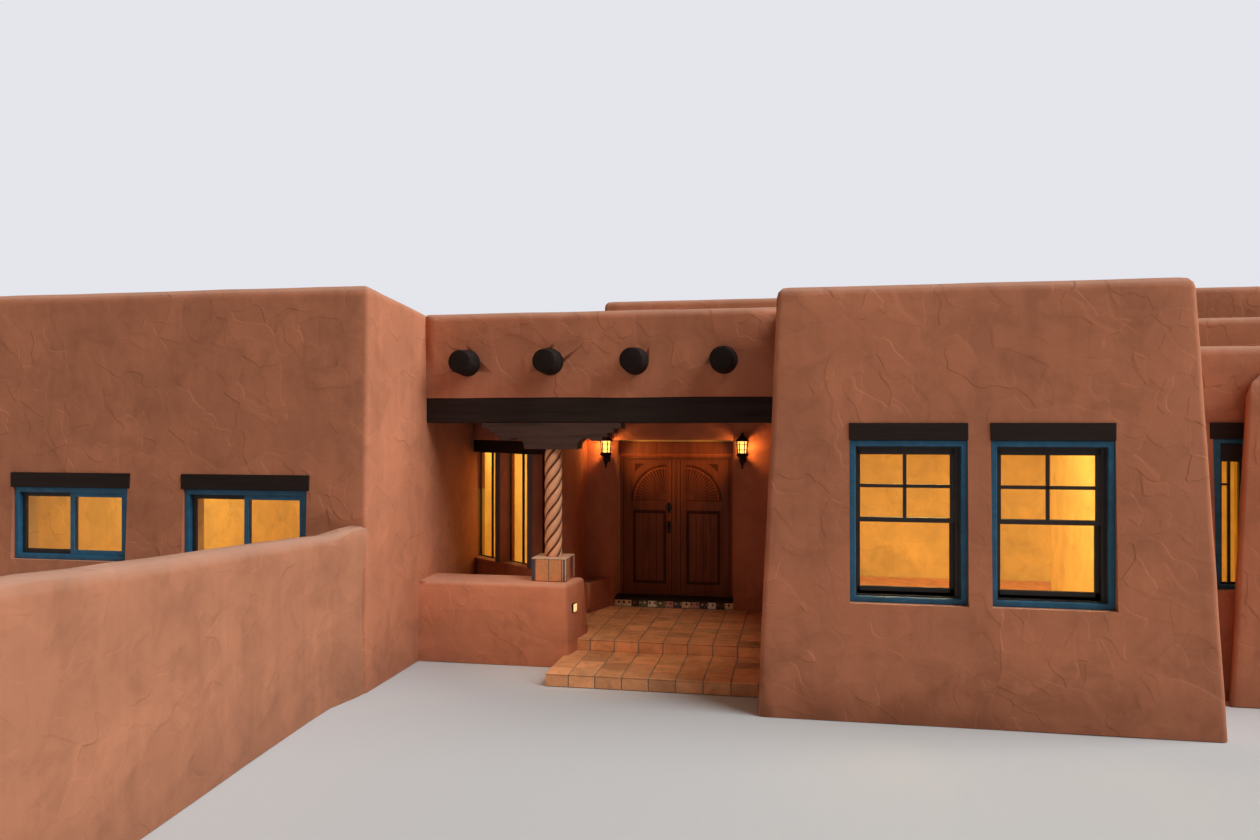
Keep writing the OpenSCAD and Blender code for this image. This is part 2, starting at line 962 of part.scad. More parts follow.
module hall_roof() {
    great_in = great_x0 + wall_t;
    color("#8f6a52")
        difference() {
            union() {
                span(left_x1 - wall_t, end_in, entry_y1, back_y0, roof_z, roof_z + roof_t);
                span(right_x0 + wall_t, right_x1 - wall_t, wing_y0 + wall_t, entry_y1, roof_z,
                    roof_z + roof_t);
                span(great_in, end_in, back_y0, back_y1, roof_z, roof_z + roof_t);
            }
            great_faces();
        }
}

module bay_roof() {
    color("#8f6a52")
        difference() {
            span(right_x1 - wall_t, end_in, bay_y0 + wall_t, entry_y1 - soft_r, bay_roof_z,
                bay_roof_z + roof_t);
            wing_faces();
            block_faces(right_x0, end_x1, entry_y0, back_y1, hall_top);
        }
}

module great_room_roof() {
    color("#8f6a52")
        span(great_x0 + wall_t, end_in, back_y1, great_y1 - wall_t, great_roof_z, great_roof_z + roof_t);
}

// Floors and steps
module house_floor() {
    color("#a05f48")
        linear_extrude(height = floor_z)
            union() {
                rect(left_x0 + wall_t, left_x1 - wall_t, wing_y0 + wall_t, back_y0);
                rect(left_x1 - wall_t, end_in, entry_y1, back_y0);
                intersection() {
                    nook_outline(nook_t);
                    rect(left_x1, nook_x0, nook_b[1], entry_y1);
                }
                rect(right_x0 + wall_t, right_x1 - wall_t, wing_y0 + wall_t, entry_y1);
                rect(right_x1, end_in, bay_y0 + wall_t, entry_y1);
                rect(passage_x0, passage_x1, back_y0, back_y1);
                rect(great_x0 + wall_t, end_in, back_y1, great_y1 - wall_t);
            }
}

module porch_floor() {
    color("#a8603f")
        difference() {
            linear_extrude(height = porch_z)
                union() {
                    difference() {
                        rect(left_x1 - soft_r, right_x0 + soft_r, porch_y0, entry_y0);
                        nook_outline();
                    }
                    rect(-recess_x, recess_x, entry_y0, riser_y);
                }
            wing_faces();
            half_wall_block();
        }
}

module porch_step() {
    color("#a8603f")
        difference() {
            span(right_x0 - step_w, right_x0 + soft_r, porch_y0 - step_d, porch_y0, 0, step_z);
            wing_faces();
            half_wall_block();
        }
}

module door_step() {
    color("#9a7a5f")
        linear_extrude(height = floor_z - sill_t)
            doorway_plan(riser_y);
}

module door_sill() {
    color(timber)
        translate([0, 0, floor_z - sill_t])
            linear_extrude(height = sill_t)
                doorway_plan(riser_y - 20);
}

// Front door
module door_frame() {
    y0 = leaf_t - frame_d;
    y1 = leaf_t;
    color("#3b2619")
        difference() {
            span(-frame_x, frame_x, y0, y1, floor_z, frame_top);
            span(-post_x + stop_w, post_x - stop_w, y0 - 1, y1 + 1, floor_z - 1, head_z - stop_w);
            span(-post_x, post_x, -stop_gap, y1 + 1, floor_z - 1, head_z);
        }
}

// Parts of one leaf, with the carved sun's middle where the stile and the middle rail meet
pocket = 14;
sun_r = leaf_w - stile_w - hinge_stile_w;
sun_z = leaf_h - top_rail - sun_r;

module quarter_disc(r) {
    intersection() {
        circle(r = r, $fn = 96);
        square(r);
    }
}

// A wedge from the corner outwards, between two angles
module wedge(r0, r1, a0, a1) {
    polygon([
        [r0 * cos(a0), r0 * sin(a0)],
        [r1 * cos(a0), r1 * sin(a0)],
        [r1 * cos(a1), r1 * sin(a1)],
        [r0 * cos(a1), r0 * sin(a1)]
    ]);
}

// Quarter sun: a hub and rays that widen to the rim
module quarter_sun(r) {
    step = 90 / rays;
    quarter_disc(0.22 * r);
    for (i = [0 : rays - 1])
        wedge(0.2 * r, 0.95 * r, (i + 0.16) * step, (i + 0.84) * step);
}

// Small carved corner outside the sun's raised band
module corner_pocket() {
    difference() {
        square([sun_r - 30, sun_r + 38]);
        circle(r = sun_r + 125, $fn = 96);
    }
}

// Stands a flat outline up on the leaf, d deep from the face at y
module on_leaf(z, y, d) {
    translate([stile_w, y + d, z])
        rotate([90, 0, 0])
            linear_extrude(height = d)
                children();
}

// One leaf, its meeting edge at x = 0 and running towards +X, its face towards -Y
module leaf() {
    low_h = sun_z - mid_rail - low_rail;
    difference() {
        cube([leaf_w, leaf_t, leaf_h]);
        for (y = [-1, leaf_t - pocket]) {
            on_leaf(sun_z, y, pocket + 1)
                quarter_disc(sun_r);
            on_leaf(low_rail, y, pocket + 1)
                square([sun_r, low_h]);
        }
        on_leaf(sun_z, -1, pocket + 1)
            corner_pocket();
    }
    on_leaf(sun_z, 3, pocket - 2)
        quarter_sun(sun_r);
    on_leaf(low_rail, 5, pocket - 4)
        translate([45, 45])
            square([sun_r - 90, low_h - 90]);
    for (z = [280, leaf_h / 2, leaf_h - 280])
        translate([pin_x - meet_gap / 2, pin_y, z - 50]) {
            cylinder(r = pin_r, h = 100, $fn = 24);
            translate([-40, leaf_t - pin_y, 0])
                cube([40, pin_y - leaf_t, 100]);
        }
}

module door_leaf_right() {
    color("#5a3420")
        translate([meet_gap / 2, 0, leaf_z])
            leaf();
}

module door_leaf_left() {
    color("#5a3420")
        mirror([1, 0, 0])
            translate([meet_gap / 2, 0, leaf_z])
                leaf();
}

// Knocker, lock and inner lever on the left leaf's meeting stile
module door_handle() {
    x = -meet_gap / 2 - 0.7 * stile_w;
    knock_z = floor_z + 1300;
    lock_z = floor_z + 1010;
    color("#1e1b1a") {
        span(x - 22, x + 22, -6, 0, knock_z - 75, knock_z + 75);
        translate([x, -16, knock_z + 10])
            rotate([90, 0, 0])
                rotate_extrude($fn = 48)
                    translate([40, 0])
                        circle(r = 7, $fn = 16);
        span(x - 8, x + 8, -16, -5, knock_z + 40, knock_z + 60);
        for (y = [-8, leaf_t])
            span(x - 25, x + 25, y, y + 8, lock_z - 90, lock_z + 90);
        for (side = [-1, 1])
            translate([x, leaf_t / 2 + side * (leaf_t / 2 + 6), lock_z + 20])
                rotate([-side * 90, 0, 0]) {
                    cylinder(r = 9, h = 40, $fn = 24);
                    translate([0, 0, 40])
                        sphere(r = 25, $fn = 32);
                }
    }
}

// Window joinery
module window_lintels() {
    color(timber) {
        for (p = slider_places)
            at_place(p)
                lintel(slider_w, slider_z + slider_h);
        for (p = tall_places)
            at_place(p)
                lintel(tall_w, tall_z + tall_h, tall_lintel_in);
        at_place(slit_place)
            lintel(slit_w, tall_z + tall_h);
        nook_lintel();
    }
}

module slider_window_frames() {
    color(blue_paint)
        for (p = slider_places)
            at_place(p)
                window_frame(slider_w, slider_h, slider_z, 2);
}

module tall_window_frames() {
    color(blue_paint)
        for (p = tall_places)
            at_place(p)
                window_frame(tall_w, tall_h, tall_z, 1);
}

module narrow_window_frames() {
    color(blue_paint) {
        at_place(slit_place)
            window_frame(slit_w, tall_h, tall_z, 1);
        difference() {
            at_nook()
                for (p = narrow_places)
                    difference() {
                        narrow_box(p, narrow_setback, narrow_d);
                        narrow_lights(p, narrow_setback - 1, narrow_d + 2);
                    }
            wing_faces();
        }
    }
}

module window_glass() {
    color("#f2b65a") {
        for (p = slider_places)
            at_place(p)
                window_pane(slider_w, slider_h, slider_z, 2);
        for (p = tall_places)
            at_place(p)
                window_pane(tall_w, tall_h, tall_z, 1);
        at_place(slit_place)
            window_pane(slit_w, tall_h, tall_z, 1);
        at_nook()
            for (p = narrow_places)
                narrow_lights(p, narrow_setback + narrow_d / 2, glass_t);
    }
}

// Wall lantern, turned in one: tail, drip pan, glass cage, roof and finial
module lantern_profile() {
    r = lantern_d / 2;
    h = lantern_h;
    polygon([
        [0, 0], [0.12 * r, 0], [0.55 * r, 0.33 * h], [0.85 * r, 0.33 * h], [0.85 * r, 0.365 * h],
        [0.55 * r, 0.365 * h], [0.8 * r, 0.75 * h], [r, 0.75 * h], [0.25 * r, 0.92 * h],
        [0.12 * r, 0.94 * h], [0.26 * r, 0.97 * h], [0, h]
    ]);
}

module lantern() {
    back = lantern_d / 2 + 20;
    plate_w = 0.45 * lantern_d;
    arm_z = 0.26 * lantern_h;
    translate([0, -back, 0])
        rotate_extrude($fn = 48)
            lantern_profile();
    span(-plate_w / 2, plate_w / 2, -12, 0, 0.17 * lantern_h, 0.77 * lantern_h);
    span(-10, 10, -back, -6, arm_z - 15, arm_z + 15);
}

module lanterns() {
    color("#2a211b")
        for (x = [-lantern_left, lantern_right])
            translate([x, entry_y0, lantern_z])
                lantern();
}

left_wing_front_wall();
left_wing_outer_wall();
left_wing_inner_wall();
left_wing_back_wall();
nook_front_wall();
nook_side_wall();
entry_wall_left();
entry_wall_right();
entry_wall_head();
porch_parapet();
right_wing_front_wall();
right_wing_inner_wall();
right_wing_outer_wall();
bay_front_wall();
bay_upper_wall();
right_buttress();
right_end_wall();
great_room_front_wall();
great_room_left_wall();
great_room_back_wall();
garden_wall();
porch_half_wall();
porch_bench();
column_plinth();
twisted_column();
corbel();
porch_beam();
vigas();
porch_roof();
left_wing_roof();
hall_roof();
bay_roof();
great_room_roof();
house_floor();
porch_floor();
porch_step();
door_step();
door_sill();
door_frame();
door_leaf_left();
door_leaf_right();
door_handle();
window_lintels();
slider_window_frames();
tall_window_frames();
narrow_window_frames();
window_glass();
lanterns();
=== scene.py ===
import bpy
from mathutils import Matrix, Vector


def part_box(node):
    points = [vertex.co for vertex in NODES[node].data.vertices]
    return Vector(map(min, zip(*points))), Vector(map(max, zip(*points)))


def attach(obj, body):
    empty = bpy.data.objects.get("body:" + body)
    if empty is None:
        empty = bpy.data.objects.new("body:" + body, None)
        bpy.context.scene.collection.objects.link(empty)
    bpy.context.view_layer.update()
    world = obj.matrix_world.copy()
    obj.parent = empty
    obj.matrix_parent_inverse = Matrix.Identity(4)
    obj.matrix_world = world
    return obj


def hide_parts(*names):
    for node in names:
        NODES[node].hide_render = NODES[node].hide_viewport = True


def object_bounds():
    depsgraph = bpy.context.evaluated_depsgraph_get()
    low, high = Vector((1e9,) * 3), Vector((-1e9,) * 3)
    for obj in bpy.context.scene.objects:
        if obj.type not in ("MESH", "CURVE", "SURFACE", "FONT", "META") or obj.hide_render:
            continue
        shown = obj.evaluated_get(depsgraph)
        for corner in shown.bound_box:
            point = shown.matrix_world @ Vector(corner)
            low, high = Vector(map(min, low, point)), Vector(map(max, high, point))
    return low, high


bl_info = {
    "name": "Adobe House",
    "version": (1, 0, 0),
    "blender": (4, 5, 0),
    "location": "View3D > Sidebar > House",
    "description": "Dresses the adobe house with plaster, timber, tiles, windows, doors and lanterns",
    "category": "Object",
}

import math

import bpy
from mathutils import Matrix, Vector, noise

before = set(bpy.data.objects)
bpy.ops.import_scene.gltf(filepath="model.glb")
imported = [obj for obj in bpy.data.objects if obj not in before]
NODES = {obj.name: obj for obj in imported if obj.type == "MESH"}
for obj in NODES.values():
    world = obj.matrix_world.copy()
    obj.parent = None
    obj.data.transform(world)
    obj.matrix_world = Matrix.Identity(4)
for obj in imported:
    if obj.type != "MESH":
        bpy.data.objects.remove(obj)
CAD_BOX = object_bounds()

# Foot lines of the house in metres: the wings, the porch, the bay and the great room
LEFT_X0, LEFT_X1 = -8.22, -2.88
RIGHT_X0, RIGHT_X1 = 1.40, 5.76
END_X = 9.46
GREAT_X0 = -1.85
WING_Y, PORCH_Y, BAY_Y, ENTRY_Y = -4.22, -2.44, -2.75, -0.35
HALL_Y, BACK_Y0, BACK_Y1, GREAT_Y = 0.15, 2.25, 2.73, 7.25
WALL = 0.48
FLOOR_Z, PORCH_Z, STEP_Z = 0.415, 0.28, 0.14
ROOF_Z = 3.913
BATTER = 0.045

# Front of the window nook, from the left wing to its corner
NOOK_A, NOOK_B = Vector((LEFT_X1, -0.711, 0)), Vector((-1.28, -1.947, 0))
NOOK_RUN = (NOOK_B - NOOK_A).length
NOOK_TURN = math.degrees(math.atan2(NOOK_B.y - NOOK_A.y, NOOK_B.x - NOOK_A.x))


def on_nook(share):
    x, y, z = NOOK_A.lerp(NOOK_B, share)
    return x, y, NOOK_TURN


# Windows: middle on the wall's foot line and turn about Z, then width, height and sill of each kind
SLIDERS = [(-6.69, WING_Y, 0), (-4.41, WING_Y, 0), (LEFT_X0, -0.985, -90), (-5.035, BACK_Y1, 180)]
TALLS = [(2.889, WING_Y, 0), (4.247, WING_Y, 0), (END_X, 4.99, 90), (0.41, GREAT_Y, 180),
         (3.805, GREAT_Y, 180), (7.20, GREAT_Y, 180)]
SLIT = [(6.429, BAY_Y, 0)]
PAIRS = [on_nook(0.1), on_nook(0.485)]
SINGLE = [on_nook(0.788)]
SLIDER_SIZE = (1.55, 0.86, 1.355)
TALL_SIZE = (1.14, 1.636, 1.17)
SLIT_SIZE = (0.355, 1.636, 1.17)
PAIR_SIZE = (0.66, 1.555, 1.0)
SINGLE_SIZE = (0.326, 1.555, 1.0)
DOOR_PLACE, DOOR_SIZE = (0, ENTRY_Y, 0), (1.75, 2.73, 0)
BAR = 0.06
LINTEL = 0.175
OPENINGS = [(place, size) for places, size in
            ((SLIDERS, SLIDER_SIZE), (TALLS, TALL_SIZE), (SLIT, SLIT_SIZE), (PAIRS, PAIR_SIZE),
             (SINGLE, SINGLE_SIZE), ([DOOR_PLACE], DOOR_SIZE)) for place in places]

PLASTER_WALLS = [n for n in NODES if "wall" in n or n in ("porch_parapet", "right_buttress", "porch_bench")]

# Rooms, as boxes that reach a little into their walls, whose faces are painted
ROOMS = [
    ((-7.95, -3.95, 0.0), (-3.15, 2.45, ROOF_Z)),
    ((-3.37, -0.06, 0.0), (9.19, 2.45, ROOF_Z)),
    ((1.67, -3.95, 0.0), (5.49, 0.16, ROOF_Z)),
    ((5.55, -2.48, 0.0), (9.19, 0.16, 3.4)),
    ((-1.58, 2.53, 0.0), (9.19, 6.98, 4.6)),
]
NOOK_ROOM = ((-2.88, -1.75, 0.0), (-1.45, 0.16, ROOF_Z))
NOOK_WALL = 0.19


def srgb(red, green, blue):
    """Linear colour of a colour given as 0 to 255 on screen."""
    return tuple(((c / 255 + 0.055) / 1.055) ** 2.4 if c > 10 else c / 3294.6 for c in (red, green, blue))


def sizes():
    return bpy.context.scene.house_sizes


def colours():
    return bpy.context.scene.house_colours


# Materials
class Shader:
    """A node material with a Principled shader and short ways to add and join nodes."""

    def __init__(self, name):
        self.material = bpy.data.materials.new(name)
        self.material.use_nodes = True
        self.tree = self.material.node_tree
        self.skin = self.tree.nodes["Principled BSDF"]
        self.place = self.add("TexCoord").outputs["Object"]

    def add(self, kind, settings=None, **inputs):
        node = self.tree.nodes.new("ShaderNode" + kind)
        for key, value in (settings or {}).items():
            setattr(node, key, value)
        for key, value in inputs.items():
            self.put(node.inputs[key.replace("_", " ")], value)
        return node

    def put(self, socket, value):
        if isinstance(value, bpy.types.NodeSocket):
            self.tree.links.new(value, socket)
        else:
            socket.default_value = value

    def stretched(self, scale, turn=(0, 0, 0), shift=(0, 0, 0)):
        node = self.add("Mapping", Vector=self.place)
        self.put(node.inputs["Scale"], scale)
        self.put(node.inputs["Rotation"], turn)
        self.put(node.inputs["Location"], shift)
        return node.outputs[0]

    def noise(self, place, scale, detail=3.0, roughness=0.55, distortion=0.0):
        node = self.add("TexNoise", Vector=place, Scale=scale, Detail=detail, Roughness=roughness,
                        Distortion=distortion)
        return node.outputs["Fac"]

    def ramp(self, value, stops):
        node = self.add("ValToRGB", Fac=value)
        points = node.color_ramp.elements
        while len(points) < len(stops):
            points.new(0.5)
        for point, (at, colour) in zip(points, stops):
            point.position = at
            point.color = (*colour, 1.0) if isinstance(colour, tuple) else (colour, colour, colour, 1.0)
        return node.outputs["Color"]

    def math(self, operation, a, b=0.0, c=0.0):
        node = self.add("Math", {"operation": operation})
        for socket, value in zip(node.inputs, (a, b, c)):
            self.put(socket, value)
        return node.outputs[0]

    def mix(self, factor, a, b, blend="MIX"):
        node = self.add("Mix", {"data_type": "RGBA", "blend_type": blend})
        for index, value in ((0, factor), (6, a), (7, b)):
            if isinstance(value, tuple) and len(value) == 3:
                value = (*value, 1.0)
            self.put(node.inputs[index], value)
        return node.outputs[2]

    def height(self):
        return self.add("SeparateXYZ", Vector=self.place).outputs["Z"]

    def warped(self, scale, amount):
        """The place, pushed about by a soft noise, so that patterns on it curve."""
        push = self.add("TexNoise", Vector=self.place, Scale=scale, Detail=1.0).outputs["Color"]
        node = self.add("VectorMath", {"operation": "MULTIPLY_ADD"})
        for socket, value in zip(node.inputs, (push, (amount, amount, amount), self.place)):
            self.put(socket, value)
        return node.outputs[0]

    def cells(self, place, scale, feature="F1", **inputs):
        return self.add("TexVoronoi", {"feature": feature}, Vector=place, Scale=scale, **inputs)

    def skips(self, scale, push):
        """Overlapping trowel strokes: soft-edged cells of uneven height."""
        cells = self.cells(self.warped(scale * 0.7, push), scale, "SMOOTH_F1", Smoothness=0.10)
        return self.add("SeparateColor", Color=cells.outputs["Color"]).outputs[0]

    def bump(self, value, distance, strength=1.0, under=None):
        node = self.add("Bump", Height=value, Distance=distance, Strength=strength)
        if under:
            self.put(node.inputs["Normal"], under)
        return node.outputs[0]

    def finish(self, colour, roughness, normal=None, **fixed):
        self.put(self.skin.inputs["Base Color"], colour)
        self.put(self.skin.inputs["Roughness"], roughness)
        if normal:
            self.put(self.skin.inputs["Normal"], normal)
        for key, value in fixed.items():
            self.put(self.skin.inputs[key.replace("_", " ")], value)
        return self.material


def shade(colour, factor):
    return tuple(min(1.0, c * factor) for c in colour[:3])


def mixed(one, other):
    return tuple((a + b) / 2 for a, b in zip(one[:3], other[:3]))


def plaster_material(name, colour, foot_darkening=0.72):
    """Earth plaster: cloudy colour, overlapping trowel skips, fine grain, paler tops (partly dust, partly painted sky
    light) and a darker foot.
    """
    s = Shader(name)
    clouds = s.noise(s.place, 0.55, 4.0, 0.6, 0.4)
    patches = s.noise(s.place, 2.6, 5.0, 0.6, 0.8)
    base = s.ramp(clouds, [(0.30, shade(colour, 0.88)), (0.52, colour[:3]), (0.74, shade(colour, 1.10))])
    base = s.mix(1.0, base, s.ramp(patches, [(0.30, 0.86), (0.50, 1.0), (0.72, 1.06)]), "MULTIPLY")
    broad = s.skips(1.9, 0.7)
    short = s.skips(3.6, 0.45)
    some = s.ramp(s.noise(s.place, 1.4, 2.0), [(0.36, 0.0), (0.54, 1.0)])
    strokes = s.math("MULTIPLY", short, some)
    base = s.mix(1.0, base, s.ramp(broad, [(0.1, 0.955), (0.9, 1.035)]), "MULTIPLY")
    base = s.mix(1.0, base, s.ramp(strokes, [(0.0, 0.98), (0.9, 1.04)]), "MULTIPLY")
    # Darker towards the bottom of each wall.
    edge = s.math("ADD", s.height(), s.math("MULTIPLY", patches, 0.5))
    foot = s.ramp(s.math("MULTIPLY", edge, 0.6), [(0.18, foot_darkening), (0.62, 1.0)])
    base = s.mix(1.0, base, foot, "MULTIPLY")
    streaks = s.noise(s.stretched((5.0, 5.0, 0.25)), 1.0, 3.0, 0.6)
    base = s.mix(1.0, base, s.ramp(streaks, [(0.30, 0.93), (0.55, 1.0)]), "MULTIPLY")
    # Upward faces turn paler: partly dust, partly painted sky light on the rounded tops.
    up = s.add("SeparateXYZ", Vector=s.add("NewGeometry").outputs["Normal"]).outputs["Z"]
    dust_and_sky_light = s.ramp(up, [(0.25, 0.0), (0.85, 0.45)])
    base = s.mix(dust_and_sky_light, base, shade(mixed(colour, (0.60, 0.50, 0.42)), 1.0))
    grain = s.noise(s.place, 60.0, 4.0, 0.7)
    lumps = s.noise(s.place, 4.0, 3.0, 0.5, 0.5)
    normal = s.bump(broad, 0.012, 0.38)
    normal = s.bump(strokes, 0.014, 0.52, normal)
    normal = s.bump(lumps, 0.020, 0.35, normal)
    normal = s.bump(grain, 0.004, 0.55, normal)
    return s.finish(base, s.ramp(patches, [(0.2, 0.95), (0.8, 0.84)]), normal, Specular_IOR_Level=0.25)


def timber_material(name, colour, axis, roughness=0.7, contrast=0.5):
    """Weathered timber with grain, checks and worn patches that run along one axis."""
    s = Shader(name)
    along = [14.0, 14.0, 14.0]
    along["xyz".index(axis)] = 0.9
    fine = [70.0, 70.0, 70.0]
    fine["xyz".index(axis)] = 1.6
    grain = s.noise(s.stretched(tuple(along)), 1.0, 5.0, 0.6, 0.7)
    fibres = s.noise(s.stretched(tuple(fine)), 1.0, 3.0, 0.6, 0.2)
    base = s.ramp(grain, [(0.30, shade(colour, 1.0 - contrast)), (0.5, colour[:3]), (0.75, shade(colour, 1.0 + contrast))])
    base = s.mix(0.35, base, s.ramp(fibres, [(0.3, shade(colour, 0.6)), (0.7, shade(colour, 1.3))]))
    checks = s.ramp(grain, [(0.34, 0.0), (0.40, 1.0)])
    normal = s.bump(checks, 0.006, 0.6)
    normal = s.bump(fibres, 0.003, 0.6, normal)
    return s.finish(base, roughness, normal, Specular_IOR_Level=0.22)


def log_material(name, colour, gap, middle_x, middle_z):
    """Round roof logs with dark, ringed and cracked ends. The rings repeat at each log."""
    s = Shader(name)
    parts = s.add("SeparateXYZ", Vector=s.place)
    across = s.math("WRAP", s.math("SUBTRACT", parts.outputs["X"], middle_x), gap / 2, -gap / 2)
    up = s.math("SUBTRACT", parts.outputs["Z"], middle_z)
    radius = s.math("SQRT", s.math("ADD", s.math("MULTIPLY", across, across), s.math("MULTIPLY", up, up)))
    wobble = s.noise(s.place, 6.0, 2.0, 0.5)
    rings = s.math("SINE", s.math("MULTIPLY", s.math("ADD", radius, s.math("MULTIPLY", wobble, 0.05)), 420.0))
    angle = s.math("ARCTAN2", up, across)
    cracks = s.math("SINE", s.math("ADD", s.math("MULTIPLY", angle, 3.0), s.math("MULTIPLY", wobble, 5.0)))
    crack = s.ramp(cracks, [(0.0, 0.0), (0.06, 1.0)])
    bark = s.noise(s.stretched((18.0, 1.0, 18.0)), 1.0, 5.0, 0.6, 0.5)
    base = s.ramp(bark, [(0.3, shade(colour, 0.55)), (0.55, colour[:3]), (0.8, shade(colour, 1.6))])
    base = s.mix(s.math("MULTIPLY", s.math("ADD", rings, 1.0), 0.12), base, shade(colour, 2.0))
    normal = s.bump(rings, 0.002, 0.5)
    normal = s.bump(crack, 0.006, 0.5, normal)
    normal = s.bump(bark, 0.010, 0.5, normal)
    return s.finish(base, 0.8, normal, Specular_IOR_Level=0.2)


def paint_material(name, colour, roughness=0.45):
    """Painted wood with brush marks, chalky patches and small chips."""
    s = Shader(name)
    patches = s.noise(s.place, 7.0, 4.0, 0.6, 0.4)
    chips = s.ramp(s.noise(s.place, 85.0, 3.0, 0.6), [(0.29, 1.0), (0.33, 0.0)])
    base = s.ramp(patches, [(0.30, shade(colour, 0.72)), (0.55, colour[:3]), (0.80, shade(colour, 1.30))])
    base = s.mix(s.math("MULTIPLY", chips, 0.35), base, (0.06, 0.05, 0.045))
    brush = s.noise(s.place, 160.0, 2.0, 0.5)
    return s.finish(base, roughness, s.bump(brush, 0.0012, 0.5), Specular_IOR_Level=0.4)


def tile_material(name, colour, roughness=0.62):
    """Fired clay with smoky clouds, pits and a slightly domed sheen."""
    s = Shader(name)
    clouds = s.noise(s.place, 5.0, 4.0, 0.6, 0.6)
    base = s.ramp(clouds, [(0.28, shade(colour, 0.72)), (0.5, colour[:3]), (0.74, shade(colour, 1.22))])
    spots = s.ramp(s.noise(s.place, 45.0, 3.0, 0.6), [(0.30, 0.75), (0.42, 1.0)])
    base = s.mix(1.0, base, spots, "MULTIPLY")
    pits = s.noise(s.place, 90.0, 3.0, 0.6)
    return s.finish(base, roughness, s.bump(pits, 0.002, 0.5))


def rough_material(name, colour, scale, roughness=0.9, distance=0.004):
    """Plain mineral surface such as grout, roof coating or carved stone."""
    s = Shader(name)
    clouds = s.noise(s.place, scale * 0.12, 4.0, 0.6)
    grain = s.noise(s.place, scale, 4.0, 0.65)
    base = s.ramp(clouds, [(0.3, shade(colour, 0.82)), (0.7, shade(colour, 1.14))])
    base = s.mix(0.4, base, s.ramp(grain, [(0.3, shade(colour, 0.7)), (0.7, shade(colour, 1.2))]))
    return s.finish(base, roughness, s.bump(grain, distance, 0.6))


def iron_material(name, colour):
    s = Shader(name)
    pits = s.noise(s.place, 120.0, 4.0, 0.6)
    base = s.ramp(pits, [(0.35, shade(colour, 0.7)), (0.75, shade(colour, 1.8))])
    return s.finish(base, 0.5, s.bump(pits, 0.001, 0.5), Metallic=0.6)


def pane_material(name):
    """Clear window glass with a faint wave."""
    s = Shader(name)
    wave = s.noise(s.place, 2.5, 2.0, 0.5)
    return s.finish((1.0, 0.97, 0.92, 1.0), 0.02, s.bump(wave, 0.001, 0.3), Transmission_Weight=1.0, IOR=1.3)


def glow_material(name, colour, strength):
    """Lamp glass that shines, with seeds in the glass."""
    s = Shader(name)
    seeds = s.noise(s.place, 60.0, 2.0, 0.5)
    base = s.ramp(seeds, [(0.3, shade(colour, 0.7)), (0.7, shade(colour, 1.2))])
    s.put(s.skin.inputs["Emission Color"], base)
    return s.finish(base, 0.3, Emission_Strength=strength)


def glazed_material(name, ground, figure, scale):
    """Glazed riser tile with a plain dotted and ringed pattern."""
    s = Shader(name)
    cells = s.add("TexVoronoi", {"feature": "F1", "distance": "EUCLIDEAN"}, Vector=s.place, Scale=scale,
                  Randomness=0.0)
    rings = s.ramp(cells.outputs["Distance"], [(0.10, 1.0), (0.14, 0.0), (0.46, 0.0), (0.50, 1.0)])
    base = s.mix(rings, ground, figure)
    crackle = s.noise(s.place, 150.0, 2.0, 0.5)
    return s.finish(base, 0.18, s.bump(crackle, 0.0006, 0.4), Coat_Weight=0.5)


FINISHES = {}


